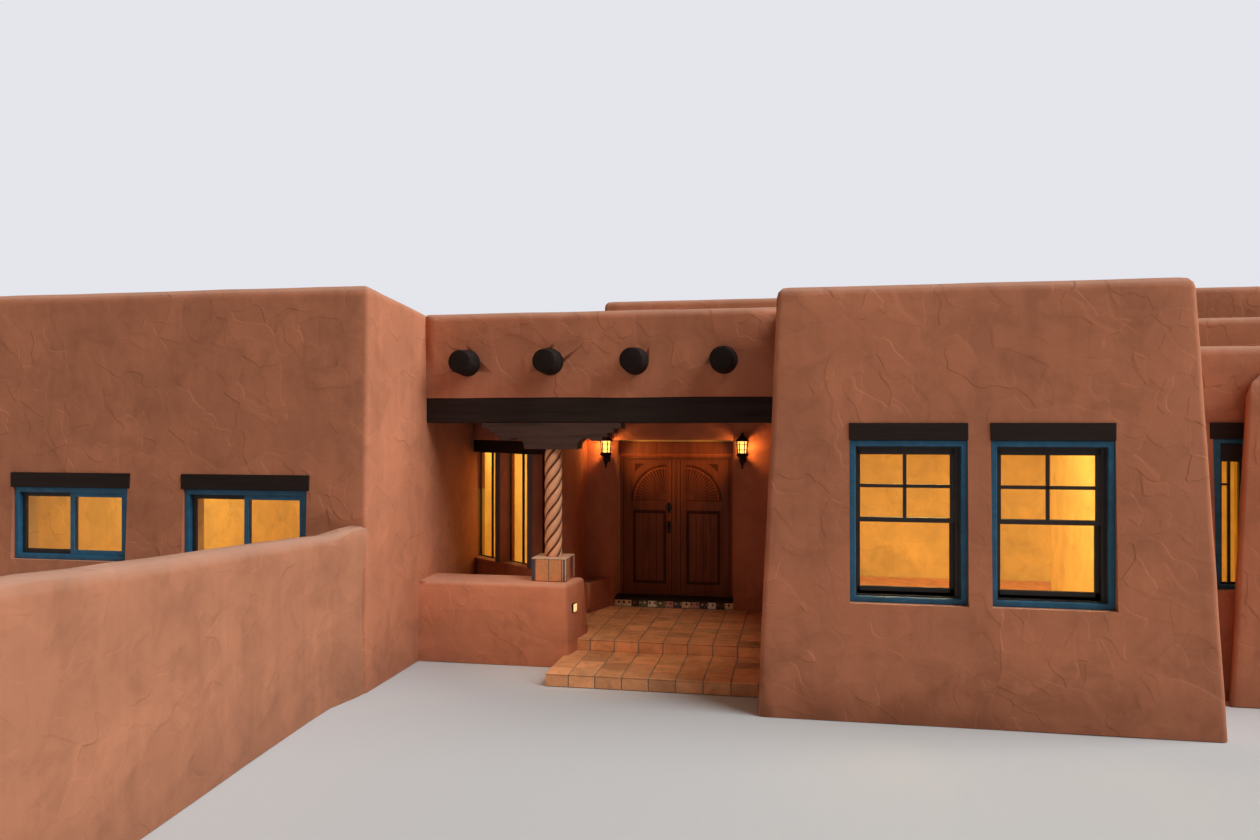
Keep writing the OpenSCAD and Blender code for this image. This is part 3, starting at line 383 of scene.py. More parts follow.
def finish(name):
    """Each finish is made once, from the colours of the panel."""
    if name in FINISHES:
        return FINISHES[name]
    c = colours()
    size = sizes()
    makers = {
        "plaster": lambda: plaster_material("plaster", c.plaster),
        "garden_plaster": lambda: plaster_material("garden_plaster", c.garden_plaster),
        # A lighter copy of the wall plaster: painted light on the porch half wall.
        "plaster_with_painted_light": lambda: plaster_material("plaster_with_painted_light", shade(c.plaster, 1.38)),
        "room_plaster": lambda: plaster_material("room_plaster", c.room_plaster, 0.95),
        "timber_x": lambda: timber_material("timber_x", c.timber, "x"),
        "timber_y": lambda: timber_material("timber_y", c.timber, "y"),
        "corbel": lambda: timber_material("corbel", shade(c.timber, 3.2), "x"),
        "logs": lambda: log_material("logs", shade(c.timber, 0.55), size.log_gap, size.log_x, size.log_z),
        "door_upright": lambda: timber_material("door_upright", c.door, "z", 0.5, 0.35),
        # A darker copy of the door wood: painted shade in recesses, grooves and gaps.
        "door_painted_shade": lambda: timber_material("door_painted_shade", shade(c.door, 0.36), "z", 0.7, 0.35),
        # A lighter copy of the door wood: painted highlight on beads and edges.
        "door_painted_highlight": lambda: timber_material("door_painted_highlight", shade(c.door, 1.9), "z", 0.5, 0.3),
        "blue": lambda: paint_material("blue", c.frames),
        "sash": lambda: paint_material("sash", c.sashes, 0.5),
        # Blue-grey pier boards: partly grey wood, partly painted cool sky light.
        "grey_post_sky_tinted": lambda: timber_material("grey_post_sky_tinted", srgb(98, 96, 108), "z", 0.7, 0.25),
        "column": lambda: rough_material("column", c.column, 60.0, 0.85, 0.005),
        # A darker copy of the column stone: painted shade in the grooves.
        "column_painted_shade": lambda: rough_material("column_painted_shade", srgb(112, 62, 38), 60.0, 0.9, 0.005),
        "grout": lambda: rough_material("grout", c.grout, 90.0),
        "clay_a": lambda: tile_material("clay_a", c.clay),
        "clay_b": lambda: tile_material("clay_b", shade(c.clay, 1.22)),
        "clay_c": lambda: tile_material("clay_c", mixed(c.clay, srgb(214, 160, 112))),
        "ochre": lambda: tile_material("ochre", srgb(216, 148, 96), 0.35),
        "mauve": lambda: tile_material("mauve", srgb(172, 96, 84), 0.35),
        "slate": lambda: tile_material("slate", srgb(66, 68, 84), 0.35),
        "chalk": lambda: tile_material("chalk", srgb(214, 178, 150), 0.5),
        "clay_d": lambda: tile_material("clay_d", shade(c.clay, 0.78)),
        "roof": lambda: rough_material("roof", c.roof, 40.0, 0.95, 0.01),
        "iron": lambda: iron_material("iron", c.iron),
        "glass": lambda: pane_material("glass"),
        "lamp_glass": lambda: glow_material("lamp_glass", srgb(255, 190, 96), 2.3),
        "step_light": lambda: glow_material("step_light", srgb(255, 190, 128), 1.3),
        "glaze_cream": lambda: glazed_material("glaze_cream", srgb(240, 214, 170), srgb(120, 80, 40), 13.0),
        "glaze_blue": lambda: glazed_material("glaze_blue", srgb(28, 34, 62), srgb(150, 140, 120), 13.0),
        "glaze_green": lambda: glazed_material("glaze_green", srgb(70, 88, 66), srgb(196, 180, 140), 13.0),
        "glaze_rose": lambda: glazed_material("glaze_rose", srgb(206, 158, 146), srgb(150, 84, 70), 13.0),
        "glaze_white": lambda: glazed_material("glaze_white", srgb(246, 240, 228), srgb(150, 120, 90), 13.0),
        "glaze_black": lambda: glazed_material("glaze_black", srgb(34, 26, 24), srgb(96, 70, 50), 13.0),
    }
    FINISHES[name] = makers[name]()
    return FINISHES[name]


# Modelling helpers
def alone(obj):
    bpy.ops.object.select_all(action="DESELECT")
    obj.select_set(True)
    bpy.context.view_layer.objects.active = obj
    return obj


def settle(obj):
    """Puts a piece's place, turn and size into its mesh."""
    alone(obj)
    bpy.ops.object.transform_apply(location=True, rotation=True, scale=True)
    return obj


def modifier(obj, kind, **settings):
    alone(obj)
    bpy.ops.object.modifier_add(type=kind)
    made = obj.modifiers[-1]
    for key, value in settings.items():
        setattr(made, key, value)
    bpy.ops.object.modifier_apply(modifier=made.name)
    return obj


def soften(obj, width, segments=2, angle=30.0):
    return modifier(obj, "BEVEL", width=width, segments=segments, limit_method="ANGLE",
                    angle_limit=math.radians(angle))


def block(low, high, width=0.004, segments=2):
    """A block between two corners, with softened edges."""
    bpy.ops.object.select_all(action="DESELECT")
    middle = [(a + b) / 2 for a, b in zip(low, high)]
    bpy.ops.mesh.primitive_cube_add(size=1.0, location=middle, scale=[b - a for a, b in zip(low, high)])
    obj = settle(bpy.context.object)
    return soften(obj, width, segments) if width else obj


def turned(outline, middle, steps=32):
    """A turned piece from (radius, height) points about an upright axis."""
    bpy.ops.object.select_all(action="DESELECT")
    bpy.ops.mesh.primitive_circle_add(vertices=steps, radius=max(outline[0][0], 0.0005), location=middle)
    obj = bpy.context.object
    bpy.ops.object.mode_set(mode="EDIT")
    bpy.ops.mesh.select_all(action="SELECT")
    bpy.ops.mesh.edge_face_add()
    height = outline[0][1]
    bpy.ops.transform.translate(value=(0, 0, height))
    radius = max(outline[0][0], 0.0005)
    for next_radius, next_height in outline[1:]:
        next_radius = max(next_radius, 0.0005)
        bpy.ops.mesh.extrude_region_move(TRANSFORM_OT_translate={"value": (0, 0, next_height - height)})
        grow = next_radius / radius
        bpy.ops.transform.resize(value=(grow, grow, 1), center_override=(middle[0], middle[1], 0))
        radius, height = next_radius, next_height
    bpy.ops.mesh.select_all(action="SELECT")
    bpy.ops.mesh.normals_make_consistent(inside=False)
    bpy.ops.object.mode_set(mode="OBJECT")
    settle(obj)
    alone(obj)
    bpy.ops.object.shade_smooth_by_angle(angle=math.radians(40))
    return obj


def copy_of(obj):
    other = obj.copy()
    other.data = obj.data.copy()
    bpy.context.scene.collection.objects.link(other)
    return other


def joined(name, parts):
    bpy.ops.object.select_all(action="DESELECT")
    for part in parts:
        part.select_set(True)
    bpy.context.view_layer.objects.active = parts[0]
    if len(parts) > 1:
        bpy.ops.object.join()
    obj = bpy.context.object
    obj.name = name
    return settle(obj)


def dress(obj, *names):
    obj.data.materials.clear()
    for name in names:
        obj.data.materials.append(finish(name))
    return obj


def keep(name, parts, body="house", replaces=()):
    """Joins parts into one named piece that rides on a body."""
    obj = joined(name, parts)
    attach(obj, body)
    if replaces:
        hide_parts(*replaces)
    return obj


def cad_copy(node, flat=True):
    """A merged copy of a CAD node's mesh, to shape further."""
    bpy.ops.object.select_all(action="DESELECT")
    mesh = NODES[node].data.copy()
    obj = bpy.data.objects.new(node + "_copy", mesh)
    bpy.context.scene.collection.objects.link(obj)
    alone(obj)
    bpy.ops.object.mode_set(mode="EDIT")
    bpy.ops.mesh.select_all(action="SELECT")
    bpy.ops.mesh.remove_doubles(threshold=0.00005)
    bpy.ops.mesh.normals_make_consistent(inside=False)
    if flat:
        bpy.ops.mesh.dissolve_limited(angle_limit=math.radians(1.0))
    bpy.ops.object.mode_set(mode="OBJECT")
    return obj


def grid_cuts(obj, step):
    """Cuts a flat-sided mesh in a grid, so that it can take soft waves."""
    corners = [Vector(c) for c in obj.bound_box]
    alone(obj)
    bpy.ops.object.mode_set(mode="EDIT")
    for axis in range(3):
        low = min(c[axis] for c in corners)
        high = max(c[axis] for c in corners)
        line = Vector((0, 0, 0))
        line[axis] = 1.0
        at = (math.floor(low / step) + 1) * step
        while at < high - 0.02:
            if at > low + 0.02:
                bpy.ops.mesh.select_all(action="SELECT")
                bpy.ops.mesh.bisect(plane_co=line * at, plane_no=line)
            at += step
    bpy.ops.object.mode_set(mode="OBJECT")
    return obj


def local(point, place):
    """A point as seen from a place on a wall: along it, into it and up."""
    x, y, turn = place
    return Matrix.Rotation(math.radians(-turn), 3, "Z") @ (point - Vector((x, y, 0)))


def stillness(point):
    """0 at the edge of an opening, rising to 1 a little way off."""
    least = 1.0
    for place, (w, h, z) in OPENINGS:
        along, inwards, up = local(point, place)
        if -0.3 < inwards < 0.7:
            gap = max(abs(along) - w / 2, z - up, up - z - h - LINTEL) - 0.03
            least = min(least, max(gap, 0.0) / 0.25)
    return least


def wave(obj, depth):
    """Moves each point by a soft noise of its place, so that walls that meet still meet."""
    low, high = CAD_BOX
    for vertex in obj.data.vertices:
        co = vertex.co
        push = noise.noise_vector(co * 1.3) * depth + noise.noise_vector(co * 3.1) * depth * 0.4
        co = co + push * stillness(co)
        vertex.co = [min(max(c, a), b) for c, a, b in zip(co, low, high)]
    return obj


def in_box(point, box):
    return all(a <= p <= b for p, a, b in zip(point, *box))


def in_a_room(point):
    if in_box(point, NOOK_ROOM):
        return local(point, on_nook(0))[1] > NOOK_WALL
    for place, (w, h, z) in OPENINGS[:11]:
        along, inwards, up = local(point, place)
        if abs(along) < w / 2 and 0.22 < inwards < 0.6 and z < up < z + h:
            return True
    return any(in_box(point, room) for room in ROOMS)


def placed(parts, places):
    """Copies parts modelled at the origin, facing -Y, to each window's place."""
    made = []
    for x, y, turn in places:
        for part in parts:
            other = copy_of(part)
            other.matrix_world = Matrix.Translation((x, y, 0)) @ Matrix.Rotation(math.radians(turn), 4, "Z")
            made.append(settle(other))
    for part in parts:
        bpy.data.objects.remove(part)
    return made


def ring(low, high, bar, front, back, width=0.005):
    """A mitred frame of four bars between two (x, z) corners, from one depth to another."""
    bpy.ops.object.select_all(action="DESELECT")
    middle = ((low[0] + high[0]) / 2, front, (low[1] + high[1]) / 2)
    bpy.ops.mesh.primitive_plane_add(size=1.0, location=middle, rotation=(math.pi / 2, 0, 0))
    obj = bpy.context.object
    obj.scale = (high[0] - low[0], high[1] - low[1], 1)
    settle(obj)
    bpy.ops.object.mode_set(mode="EDIT")
    bpy.ops.mesh.select_all(action="SELECT")
    bpy.ops.mesh.inset(thickness=bar, depth=0)
    bpy.ops.mesh.delete(type="FACE")
    bpy.ops.mesh.select_all(action="SELECT")
    bpy.ops.mesh.extrude_region_move(TRANSFORM_OT_translate={"value": (0, back - front, 0)})
    bpy.ops.mesh.select_all(action="SELECT")
    bpy.ops.mesh.normals_make_consistent(inside=False)
    bpy.ops.object.mode_set(mode="OBJECT")
    return soften(obj, width) if width else obj


def window_y(size):
    """Depth of a window frame's face behind the wall's foot line."""
    return BATTER * (size[1] + size[2]) + 0.025


class HouseSizes(bpy.types.PropertyGroup):
    wave_depth: bpy.props.FloatProperty(name="Plaster Wave", description="Depth of the soft waves in the walls", default=0.008, unit="LENGTH")
    wave_step: bpy.props.FloatProperty(name="Wave Step", description="Distance between the points that carry the waves", default=0.40, unit="LENGTH")
    log_gap: bpy.props.FloatProperty(name="Log Gap", description="Distance between the roof logs", default=1.09, unit="LENGTH")
    log_x: bpy.props.FloatProperty(name="Log Place", description="Place of one roof log from the door's middle", default=-0.18, unit="LENGTH")
    log_z: bpy.props.FloatProperty(name="Log Height", description="Height of the roof logs' axis", default=3.745, unit="LENGTH")
    tile: bpy.props.FloatProperty(name="Floor Tile", description="Side of the clay floor tiles with their joint", default=0.305, unit="LENGTH")
    joint: bpy.props.FloatProperty(name="Tile Joint", description="Width of the joints between floor tiles", default=0.014, unit="LENGTH")
    muntin: bpy.props.FloatProperty(name="Muntin", description="Width of the bars that divide the panes", default=0.036, unit="LENGTH")
    riser_tiles: bpy.props.IntProperty(name="Riser Tiles", description="Number of glazed tiles in the door step", default=14)
    rays: bpy.props.IntProperty(name="Rays", description="Number of carved rays on each door leaf", default=15)


class HouseColours(bpy.types.PropertyGroup):
    plaster: bpy.props.FloatVectorProperty(name="Plaster", description="Colour of the earth plaster", subtype="COLOR", default=srgb(190, 120, 88))
    garden_plaster: bpy.props.FloatVectorProperty(name="Garden Plaster", description="Colour of the garden wall", subtype="COLOR", default=srgb(178, 117, 87))
    room_plaster: bpy.props.FloatVectorProperty(name="Room Plaster", description="Colour of the walls inside", subtype="COLOR", default=srgb(228, 204, 130))
    timber: bpy.props.FloatVectorProperty(name="Timber", description="Colour of beams, logs and lintels", subtype="COLOR", default=srgb(42, 29, 24))
    door: bpy.props.FloatVectorProperty(name="Door", description="Colour of the door's wood", subtype="COLOR", default=srgb(126, 68, 34))
    frames: bpy.props.FloatVectorProperty(name="Window Frames", description="Colour of the blue frames", subtype="COLOR", default=srgb(38, 98, 132))
    sashes: bpy.props.FloatVectorProperty(name="Window Sashes", description="Colour of the dark sashes", subtype="COLOR", default=srgb(44, 36, 34))
    column: bpy.props.FloatVectorProperty(name="Column", description="Colour of the carved column", subtype="COLOR", default=srgb(232, 170, 128))
    clay: bpy.props.FloatVectorProperty(name="Clay Tile", description="Colour of most floor tiles", subtype="COLOR", default=srgb(218, 154, 106))
    grout: bpy.props.FloatVectorProperty(name="Grout", description="Colour of the tile joints", subtype="COLOR", default=srgb(150, 136, 118))
    roof: bpy.props.FloatVectorProperty(name="Roof", description="Colour of the roof coating", subtype="COLOR", default=srgb(176, 156, 136))
    iron: bpy.props.FloatVectorProperty(name="Iron", description="Colour of the wrought iron", subtype="COLOR", default=srgb(34, 30, 28))


class HOUSE_OT_walls(bpy.types.Operator):
    """Plasters every wall: a waved skin outside and paint in the rooms"""

    bl_idname = "house.walls"
    bl_label = "Plaster Walls"

    def execute(self, context):
        size = sizes()
        for node in PLASTER_WALLS:
            obj = cad_copy(node)
            grid_cuts(obj, size.wave_step)
            if node == "left_wing_inner_wall":
                inwards = Matrix.Rotation(math.radians(NOOK_TURN), 3, "Z") @ Vector((0, 1, 0))
                bpy.ops.object.mode_set(mode="EDIT")
                bpy.ops.mesh.select_all(action="SELECT")
                bpy.ops.mesh.bisect(plane_co=NOOK_A + inwards * 0.185, plane_no=inwards)
                bpy.ops.object.mode_set(mode="OBJECT")
            wave(obj, size.wave_depth)
            for vertex in obj.data.vertices:
                x, y, z = vertex.co
                if node == "right_buttress" and x < 6.8:
                    vertex.co.x += 0.38 * max(y + 3.0 - BATTER * z, 0)
                if node == "garden_wall" and z > 1.6 and x > -3.1:
                    vertex.co.z += (1.84 - z) * 0.75 * min(max((y + 4.85) / 0.4, 0), 1)
                if node == "garden_wall" and y > WING_Y + 0.03:
                    vertex.co.x -= 0.03
            # The porch half wall takes the lighter plaster copy: painted light.
            kind = {"garden_wall": "garden_plaster", "porch_half_wall": "plaster_with_painted_light"}.get(node, "plaster")
            dress(obj, kind, "room_plaster")
            for face in obj.data.polygons:
                inwards = face.center + face.normal * 0.03
                if in_a_room(inwards) and abs(face.normal.z) < 0.9:
                    face.material_index = 1
            alone(obj)
            bpy.ops.object.shade_smooth_by_angle(angle=math.radians(34))
            keep(node.replace("wall", "plaster") if "wall" in node else node + "_plaster", [obj],
                 replaces=[node])
        return {"FINISHED"}


class HOUSE_OT_roofs(bpy.types.Operator):
    """Coats the roofs and the floors inside"""

    bl_idname = "house.roofs"
    bl_label = "Coat Roofs"

    def execute(self, context):
        for node in NODES:
            if node.endswith("_roof"):
                dress(NODES[node], "roof")
        dress(NODES["house_floor"], "clay_a")
        return {"FINISHED"}


class HOUSE_OT_timbers(bpy.types.Operator):
    """Hews the beam, the corbel, the roof logs and the lintels"""

    bl_idname = "house.timbers"
    bl_label = "Hew Timbers"

    def execute(self, context):
        beam = wave(grid_cuts(soften(cad_copy("porch_beam"), 0.018, 3), 0.2), 0.008)
        keep("hewn_beam", [dress(beam, "timber_x")], replaces=["porch_beam"])
        corbel = soften(cad_copy("corbel"), 0.008, 2, 40)
        keep("carved_corbel", [dress(corbel, "corbel")], replaces=["corbel"])
        logs = soften(cad_copy("vigas"), 0.016, 3, 60)
        alone(logs)
        bpy.ops.object.shade_smooth_by_angle(angle=math.radians(40))
        keep("roof_logs", [dress(logs, "logs")], replaces=["vigas"])
        lintels = cad_copy("window_lintels")
        for vertex in lintels.data.vertices:
            for place, (w, h, z) in OPENINGS[:11]:
                x, y, turn = place
                along, inwards, up = local(vertex.co, place)
                if abs(along) < w / 2 + 0.06 and inwards < BATTER * (z + h + LINTEL) + 0.01 and z < up:
                    vertex.co -= Matrix.Rotation(math.radians(turn), 3, "Z") @ Vector((0, 0.012, 0))
        lintels = soften(lintels, 0.006, 2)
        dress(lintels, "timber_x", "timber_y")
        for face in lintels.data.polygons:
            x, y, z = face.center
            if x < LEFT_X0 + 0.4 or (x > END_X - 0.4 and y > BACK_Y0):
                face.material_index = 1
        keep("hewn_lintels", [lintels], replaces=["window_lintels"])
        return {"FINISHED"}


class HOUSE_OT_column(bpy.types.Operator):
    """Carves the twisted column and clads its plinth"""

    bl_idname = "house.column"
    bl_label = "Carve Column"

    def execute(self, context):
        low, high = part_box("twisted_column")
        x, y = (low.x + high.x) / 2, (low.y + high.y) / 2
        radius = (high.x - low.x) / 2
        bpy.ops.object.select_all(action="DESELECT")
        bpy.ops.mesh.primitive_circle_add(vertices=96, radius=radius, location=(0, 0, 0))
        shaft = bpy.context.object
        for vertex in shaft.data.vertices:
            turn = (math.atan2(vertex.co.y, vertex.co.x) + math.pi / 4) % (math.pi / 2) - math.pi / 4
            strand = 0.44 * math.cos(turn) + math.sqrt(0.56 ** 2 - (0.44 * math.sin(turn)) ** 2)
            vertex.co *= strand
        modifier(shaft, "SCREW", axis="Z", screw_offset=high.z - low.z, angle=math.tau * (high.z - low.z) / 0.70,
                 steps=110, render_steps=110, use_smooth_shade=True)
        shaft.location = (x, y, low.z)
        settle(shaft)
        bpy.ops.object.mode_set(mode="EDIT")
        bpy.ops.mesh.select_all(action="SELECT")
        bpy.ops.mesh.fill_holes(sides=0)
        bpy.ops.mesh.normals_make_consistent(inside=False)
        bpy.ops.object.mode_set(mode="OBJECT")
        dress(shaft, "column", "column_painted_shade")
        # Faces deep in the grooves take painted shade.
        for face in shaft.data.polygons:
            if abs(face.normal.z) < 0.9 and math.hypot(face.center.x - x, face.center.y - y) < 0.86 * radius:
                face.material_index = 1
        keep("carved_column", [shaft], replaces=["twisted_column"])
        low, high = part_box("column_plinth")
        core = dress(block(low + Vector((0.008, 0.008, 0)), high - Vector((0.008, 0.008, 0.012)), 0.004), "grout")
        cap = dress(block((low.x, low.y, high.z - 0.014), high, 0.005), "chalk")
        parts = [core, cap]
        face = ((0.002, 0.042, "slate"), (0.044, 0.051, "mauve"), (0.056, 0.214, "ochre"), (0.230, 0.384, "ochre"),
                (0.386, 0.400, "mauve"), (0.402, 0.410, "chalk"), (0.412, 0.432, "slate"), (0.434, 0.450, "chalk"))
        for x0, x1, name in face:
            tile = block((low.x + x0, low.y, low.z + 0.006), (low.x + x1, low.y + 0.02, high.z - 0.018), 0.002)
            parts.append(dress(tile, name))
        side = ((0.002, 0.024, "chalk"), (0.030, 0.200, "ochre"), (0.206, 0.372, "mauve"), (0.378, 0.448, "chalk"))
        for y0, y1, name in side:
            tile = block((high.x - 0.02, low.y + y0, low.z + 0.006), (high.x, low.y + y1, high.z - 0.018), 0.002)
            parts.append(dress(tile, name))
        keep("tiled_plinth", parts, replaces=["column_plinth"])
        return {"FINISHED"}


# Glazes of the door step's tiles, from left to right
RISER = ("cream", "cream", "black", "green", "white", "green", "rose", "blue", "cream", "rose", "blue", "white",
         "black", "cream")


class HOUSE_OT_floors(bpy.types.Operator):
    """Lays the clay tiles of the porch and its steps, and the glazed tiles of the door step"""

    bl_idname = "house.floors"
    bl_label = "Lay Tiles"

    def clay(self, column, row, slab):
        """Picks one of the four clays for a tile."""
        pick = noise.cell(Vector((column * 1.7 + slab * 9.1, row * 2.3, slab + 0.5)))
        return "clay_a" if pick < 0.42 else "clay_b" if pick < 0.66 else "clay_c" if pick < 0.80 else "clay_d"

    def course(self, low, high, slab):
        """Faces the upright side of a step with one course of tiles, cutting the last one."""
        size = sizes()
        along = 0 if high[0] - low[0] > high[1] - low[1] else 1
        made = []
        end, column = high[along], 0
        while end > low[along] + 0.04:
            near, far = Vector(low), Vector(high)
            near[along] = max(end - size.tile + size.joint, low[along])
            far[along] = end
            made.append(dress(block(near, far, 0.004), self.clay(column, 40, slab)))
            end -= size.tile
            column += 1
        return made

    def tiles(self, low, high, top, slab):
        """Tiles a rectangle from its front right corner, cutting the last row and column."""
        size = sizes()
        made = []
        y, row = low[1], 0
        while y < high[1] - 0.04:
            x, column = high[0], 0
            while x > low[0] + 0.04:
                near = (max(x - size.tile + size.joint, low[0]), y)
                far = (x, min(y + size.tile - size.joint, high[1]))
                middle = Vector(((near[0] + far[0]) / 2, (near[1] + far[1]) / 2, 0))
                if middle.x < NOOK_B.x and local(middle, on_nook(0))[1] > 0.15:
                    x -= size.tile
                    column += 1
                    continue
                tile = block((*near, top - 0.014), (*far, top), 0.005)
                made.append(dress(tile, self.clay(column, row, slab)))
                x -= size.tile
                column += 1
            y += size.tile
            row += 1
        return made

    def execute(self, context):
        for node in ("porch_floor", "porch_step", "door_step"):
            dress(NODES[node], "grout")
        right, step_y = RIGHT_X0 - 0.02, PORCH_Y - 1.11
        parts = self.tiles((LEFT_X1 + 0.02, PORCH_Y - 0.015), (right, ENTRY_Y), PORCH_Z + 0.008, 1)
        parts += self.tiles((-1.015, step_y - 0.015), (right, PORCH_Y), STEP_Z + 0.008, 2)
        parts += self.course((-0.92, PORCH_Y - 0.010, STEP_Z + 0.010), (right, PORCH_Y + 0.004, PORCH_Z - 0.009), 3)
        parts += self.course((-1.010, step_y - 0.010, 0.003), (right, step_y + 0.004, STEP_Z - 0.009), 4)
        parts += self.course((-1.010, step_y + 0.006, 0.003), (-0.996, PORCH_Y, STEP_Z - 0.009), 5)
        keep("clay_tiles", parts)
        low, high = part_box("door_step")
        count = sizes().riser_tiles
        wide = (high.x - low.x) / count
        parts = []
        for i in range(count):
            tile = block((low.x + i * wide + 0.003, low.y - 0.008, PORCH_Z + 0.010),
                         (low.x + (i + 1) * wide - 0.003, low.y + 0.004, high.z - 0.004), 0.002)
            parts.append(dress(tile, "glaze_" + RISER[i % len(RISER)]))
        keep("riser_tiles", parts)
        dress(NODES["door_sill"], "timber_x")
        return {"FINISHED"}


class HOUSE_OT_windows(bpy.types.Operator):
    """Fits the blue frames, the sashes with their bars, and the panes"""

    bl_idname = "house.windows"
    bl_label = "Fit Windows"

    def tall(self):
        w, h, z = TALL_SIZE
        y = window_y(TALL_SIZE)
        x = w / 2
        muntin = sizes().muntin / 2
        inner = x - BAR - 0.002
        right = inner - 0.046
        middle = (right - inner) / 2
        low, meet, top = z + BAR + 0.090, z + 0.831, z + h - BAR
        rail = top - 0.085
        blue = [ring((-x, z), (x, z + h), BAR, y - 0.010, y + 0.09, 0.008),
                ring((-x + 0.040, z + 0.040), (x - 0.040, z + h - 0.040), 0.022, y + 0.010, y + 0.09, 0.004)]
        dark = [ring((-inner, z + BAR - 0.002), (inner, top + 0.002), 0.016, y + 0.030, y + 0.14, 0.003),
                block((right - 0.004, y + 0.050, z + BAR), (inner, y + 0.136, top), 0.004),
                ring((-inner, z + BAR), (right, meet + 0.024), 0.048, y + 0.095, y + 0.135),
                block((-inner, y + 0.095, z + BAR), (right, y + 0.136, low), 0.005),
                ring((-inner, meet - 0.024), (right, top), 0.048, y + 0.055, y + 0.094),
                block((-inner, y + 0.055, rail), (right, y + 0.095, top), 0.005)]
        pane = (meet + 0.024 + rail) / 2
        dark.append(block((middle - muntin, y + 0.062, meet), (middle + muntin, y + 0.088, rail + 0.01), 0.005))
        dark.append(block((-inner + 0.04, y + 0.062, pane - muntin), (right - 0.04, y + 0.088, pane + muntin), 0.005))
        glass = [block((-inner + 0.045, y + 0.112, low - 0.01), (right - 0.045, y + 0.117, meet - 0.02), 0),
                 block((-inner + 0.045, y + 0.072, meet), (right - 0.045, y + 0.077, rail + 0.01), 0)]
        return blue, dark, glass

    def slider(self):
        w, h, z = SLIDER_SIZE
        y = window_y(SLIDER_SIZE)
        x = w / 2
        blue = [ring((-x, z), (x, z + h), BAR, y - 0.004, y + 0.09, 0.008),
                ring((-x + 0.044, z + 0.044), (x - 0.044, z + h - 0.044), 0.020, y + 0.008, y + 0.09, 0.004),
                ring((-0.03, z + BAR), (x - BAR, z + h - BAR), 0.055, y + 0.020, y + 0.050)]
        dark = [ring((-x + BAR, z + BAR), (0.03, z + h - BAR), 0.055, y + 0.050, y + 0.085)]
        glass = [block((-x + BAR + 0.05, y + 0.066, z + BAR + 0.05), (-0.02, y + 0.071, z + h - BAR - 0.05), 0),
                 block((0.02, y + 0.034, z + BAR + 0.05), (x - BAR - 0.05, y + 0.039, z + h - BAR - 0.05), 0)]
        return blue, dark, glass

    def slit(self):
        w, h, z = SLIT_SIZE
        y = window_y(SLIT_SIZE)
        x = w / 2
        head = z + h - 0.25
        blue = [ring((-x, z), (x, z + h), 0.048, y - 0.006, y + 0.09, 0.008),
                block((-x + 0.03, y - 0.004, z + 0.03), (-0.093, y + 0.09, z + h - 0.03), 0.008)]
        dark = [ring((-0.095, z + 0.046), (0.132, z + h - 0.046), 0.026, y + 0.03, y + 0.09, 0.004),
                block((-0.095, y + 0.032, head), (0.132, y + 0.088, z + h - 0.046), 0.004),
                block((-0.004, y + 0.04, z + 0.06), (0.022, y + 0.08, head + 0.01), 0.004),
                block((-0.08, y + 0.045, head - 0.26), (0.0, y + 0.075, head - 0.235), 0.004)]
        glass = [block((-0.080, y + 0.060, z + 0.06), (0.118, y + 0.065, head + 0.01), 0)]
        return blue, dark, glass

    def narrow(self, size, lights):
        w, h, z = size
        x = w / 2
        dark = [ring((-x, z), (x, z + h), 0.014, 0.166, 0.196, 0.003)]
        if lights == 2:
            dark.append(block((-0.029, 0.164, z + 0.01), (0.006, 0.192, z + h - 0.01), 0.006))
        for side in (-1, 1):
            middle = side * (x - 0.014)
            dark.append(block((middle - 0.003, 0.158, z + 0.01), (middle + 0.003, 0.170, z + h - 0.01), 0.002))
        glass = [block((-x + 0.01, 0.178, z + 0.01), (x - 0.01, 0.184, z + h - 0.01), 0)]
        return [], dark, glass

    def pair(self):
        return self.narrow(PAIR_SIZE, 2)

    def single(self):
        return self.narrow(SINGLE_SIZE, 1)

    def posts(self):
        """Weathered boards on the piers between the nook's windows, whose blue-grey is partly painted cool sky light.
        """
        z, height = PAIR_SIZE[2], PAIR_SIZE[1]
        made = []
        for a, b in ((0.1 * NOOK_RUN + 0.33, 0.485 * NOOK_RUN - 0.33), (0.485 * NOOK_RUN + 0.33, 0.788 * NOOK_RUN - 0.163)):
            post = dress(block((a + 0.001, -0.012, z + 0.002), (b - 0.001, 0.060, z + height - 0.002), 0.008), "grey_post_sky_tinted")
            made += placed([post], [on_nook(0)])
        return made

    def execute(self, context):
        blue, dark, glass = [], [], []
        for kind, places in ((self.slider, SLIDERS), (self.tall, TALLS), (self.slit, SLIT), (self.pair, PAIRS),
                             (self.single, SINGLE)):
            parts = kind()
            for group, made, name in zip((blue, dark, glass), parts, ("blue", "sash", "glass")):
                for part in made:
                    dress(part, name)
                group += placed(made, places)
        keep("blue_frames", blue, replaces=["slider_window_frames", "tall_window_frames"])
        keep("window_sashes", dark, replaces=["narrow_window_frames"])
        keep("nook_posts", self.posts())
        keep("window_panes", glass, replaces=["window_glass"])
        return {"FINISHED"}


# Carved sun of the right leaf: middle and radius
SUN_X, SUN_R = 0.15, 0.505
SUN_Z = FLOOR_Z + 0.008 + 2.015 - 0.105 - SUN_R


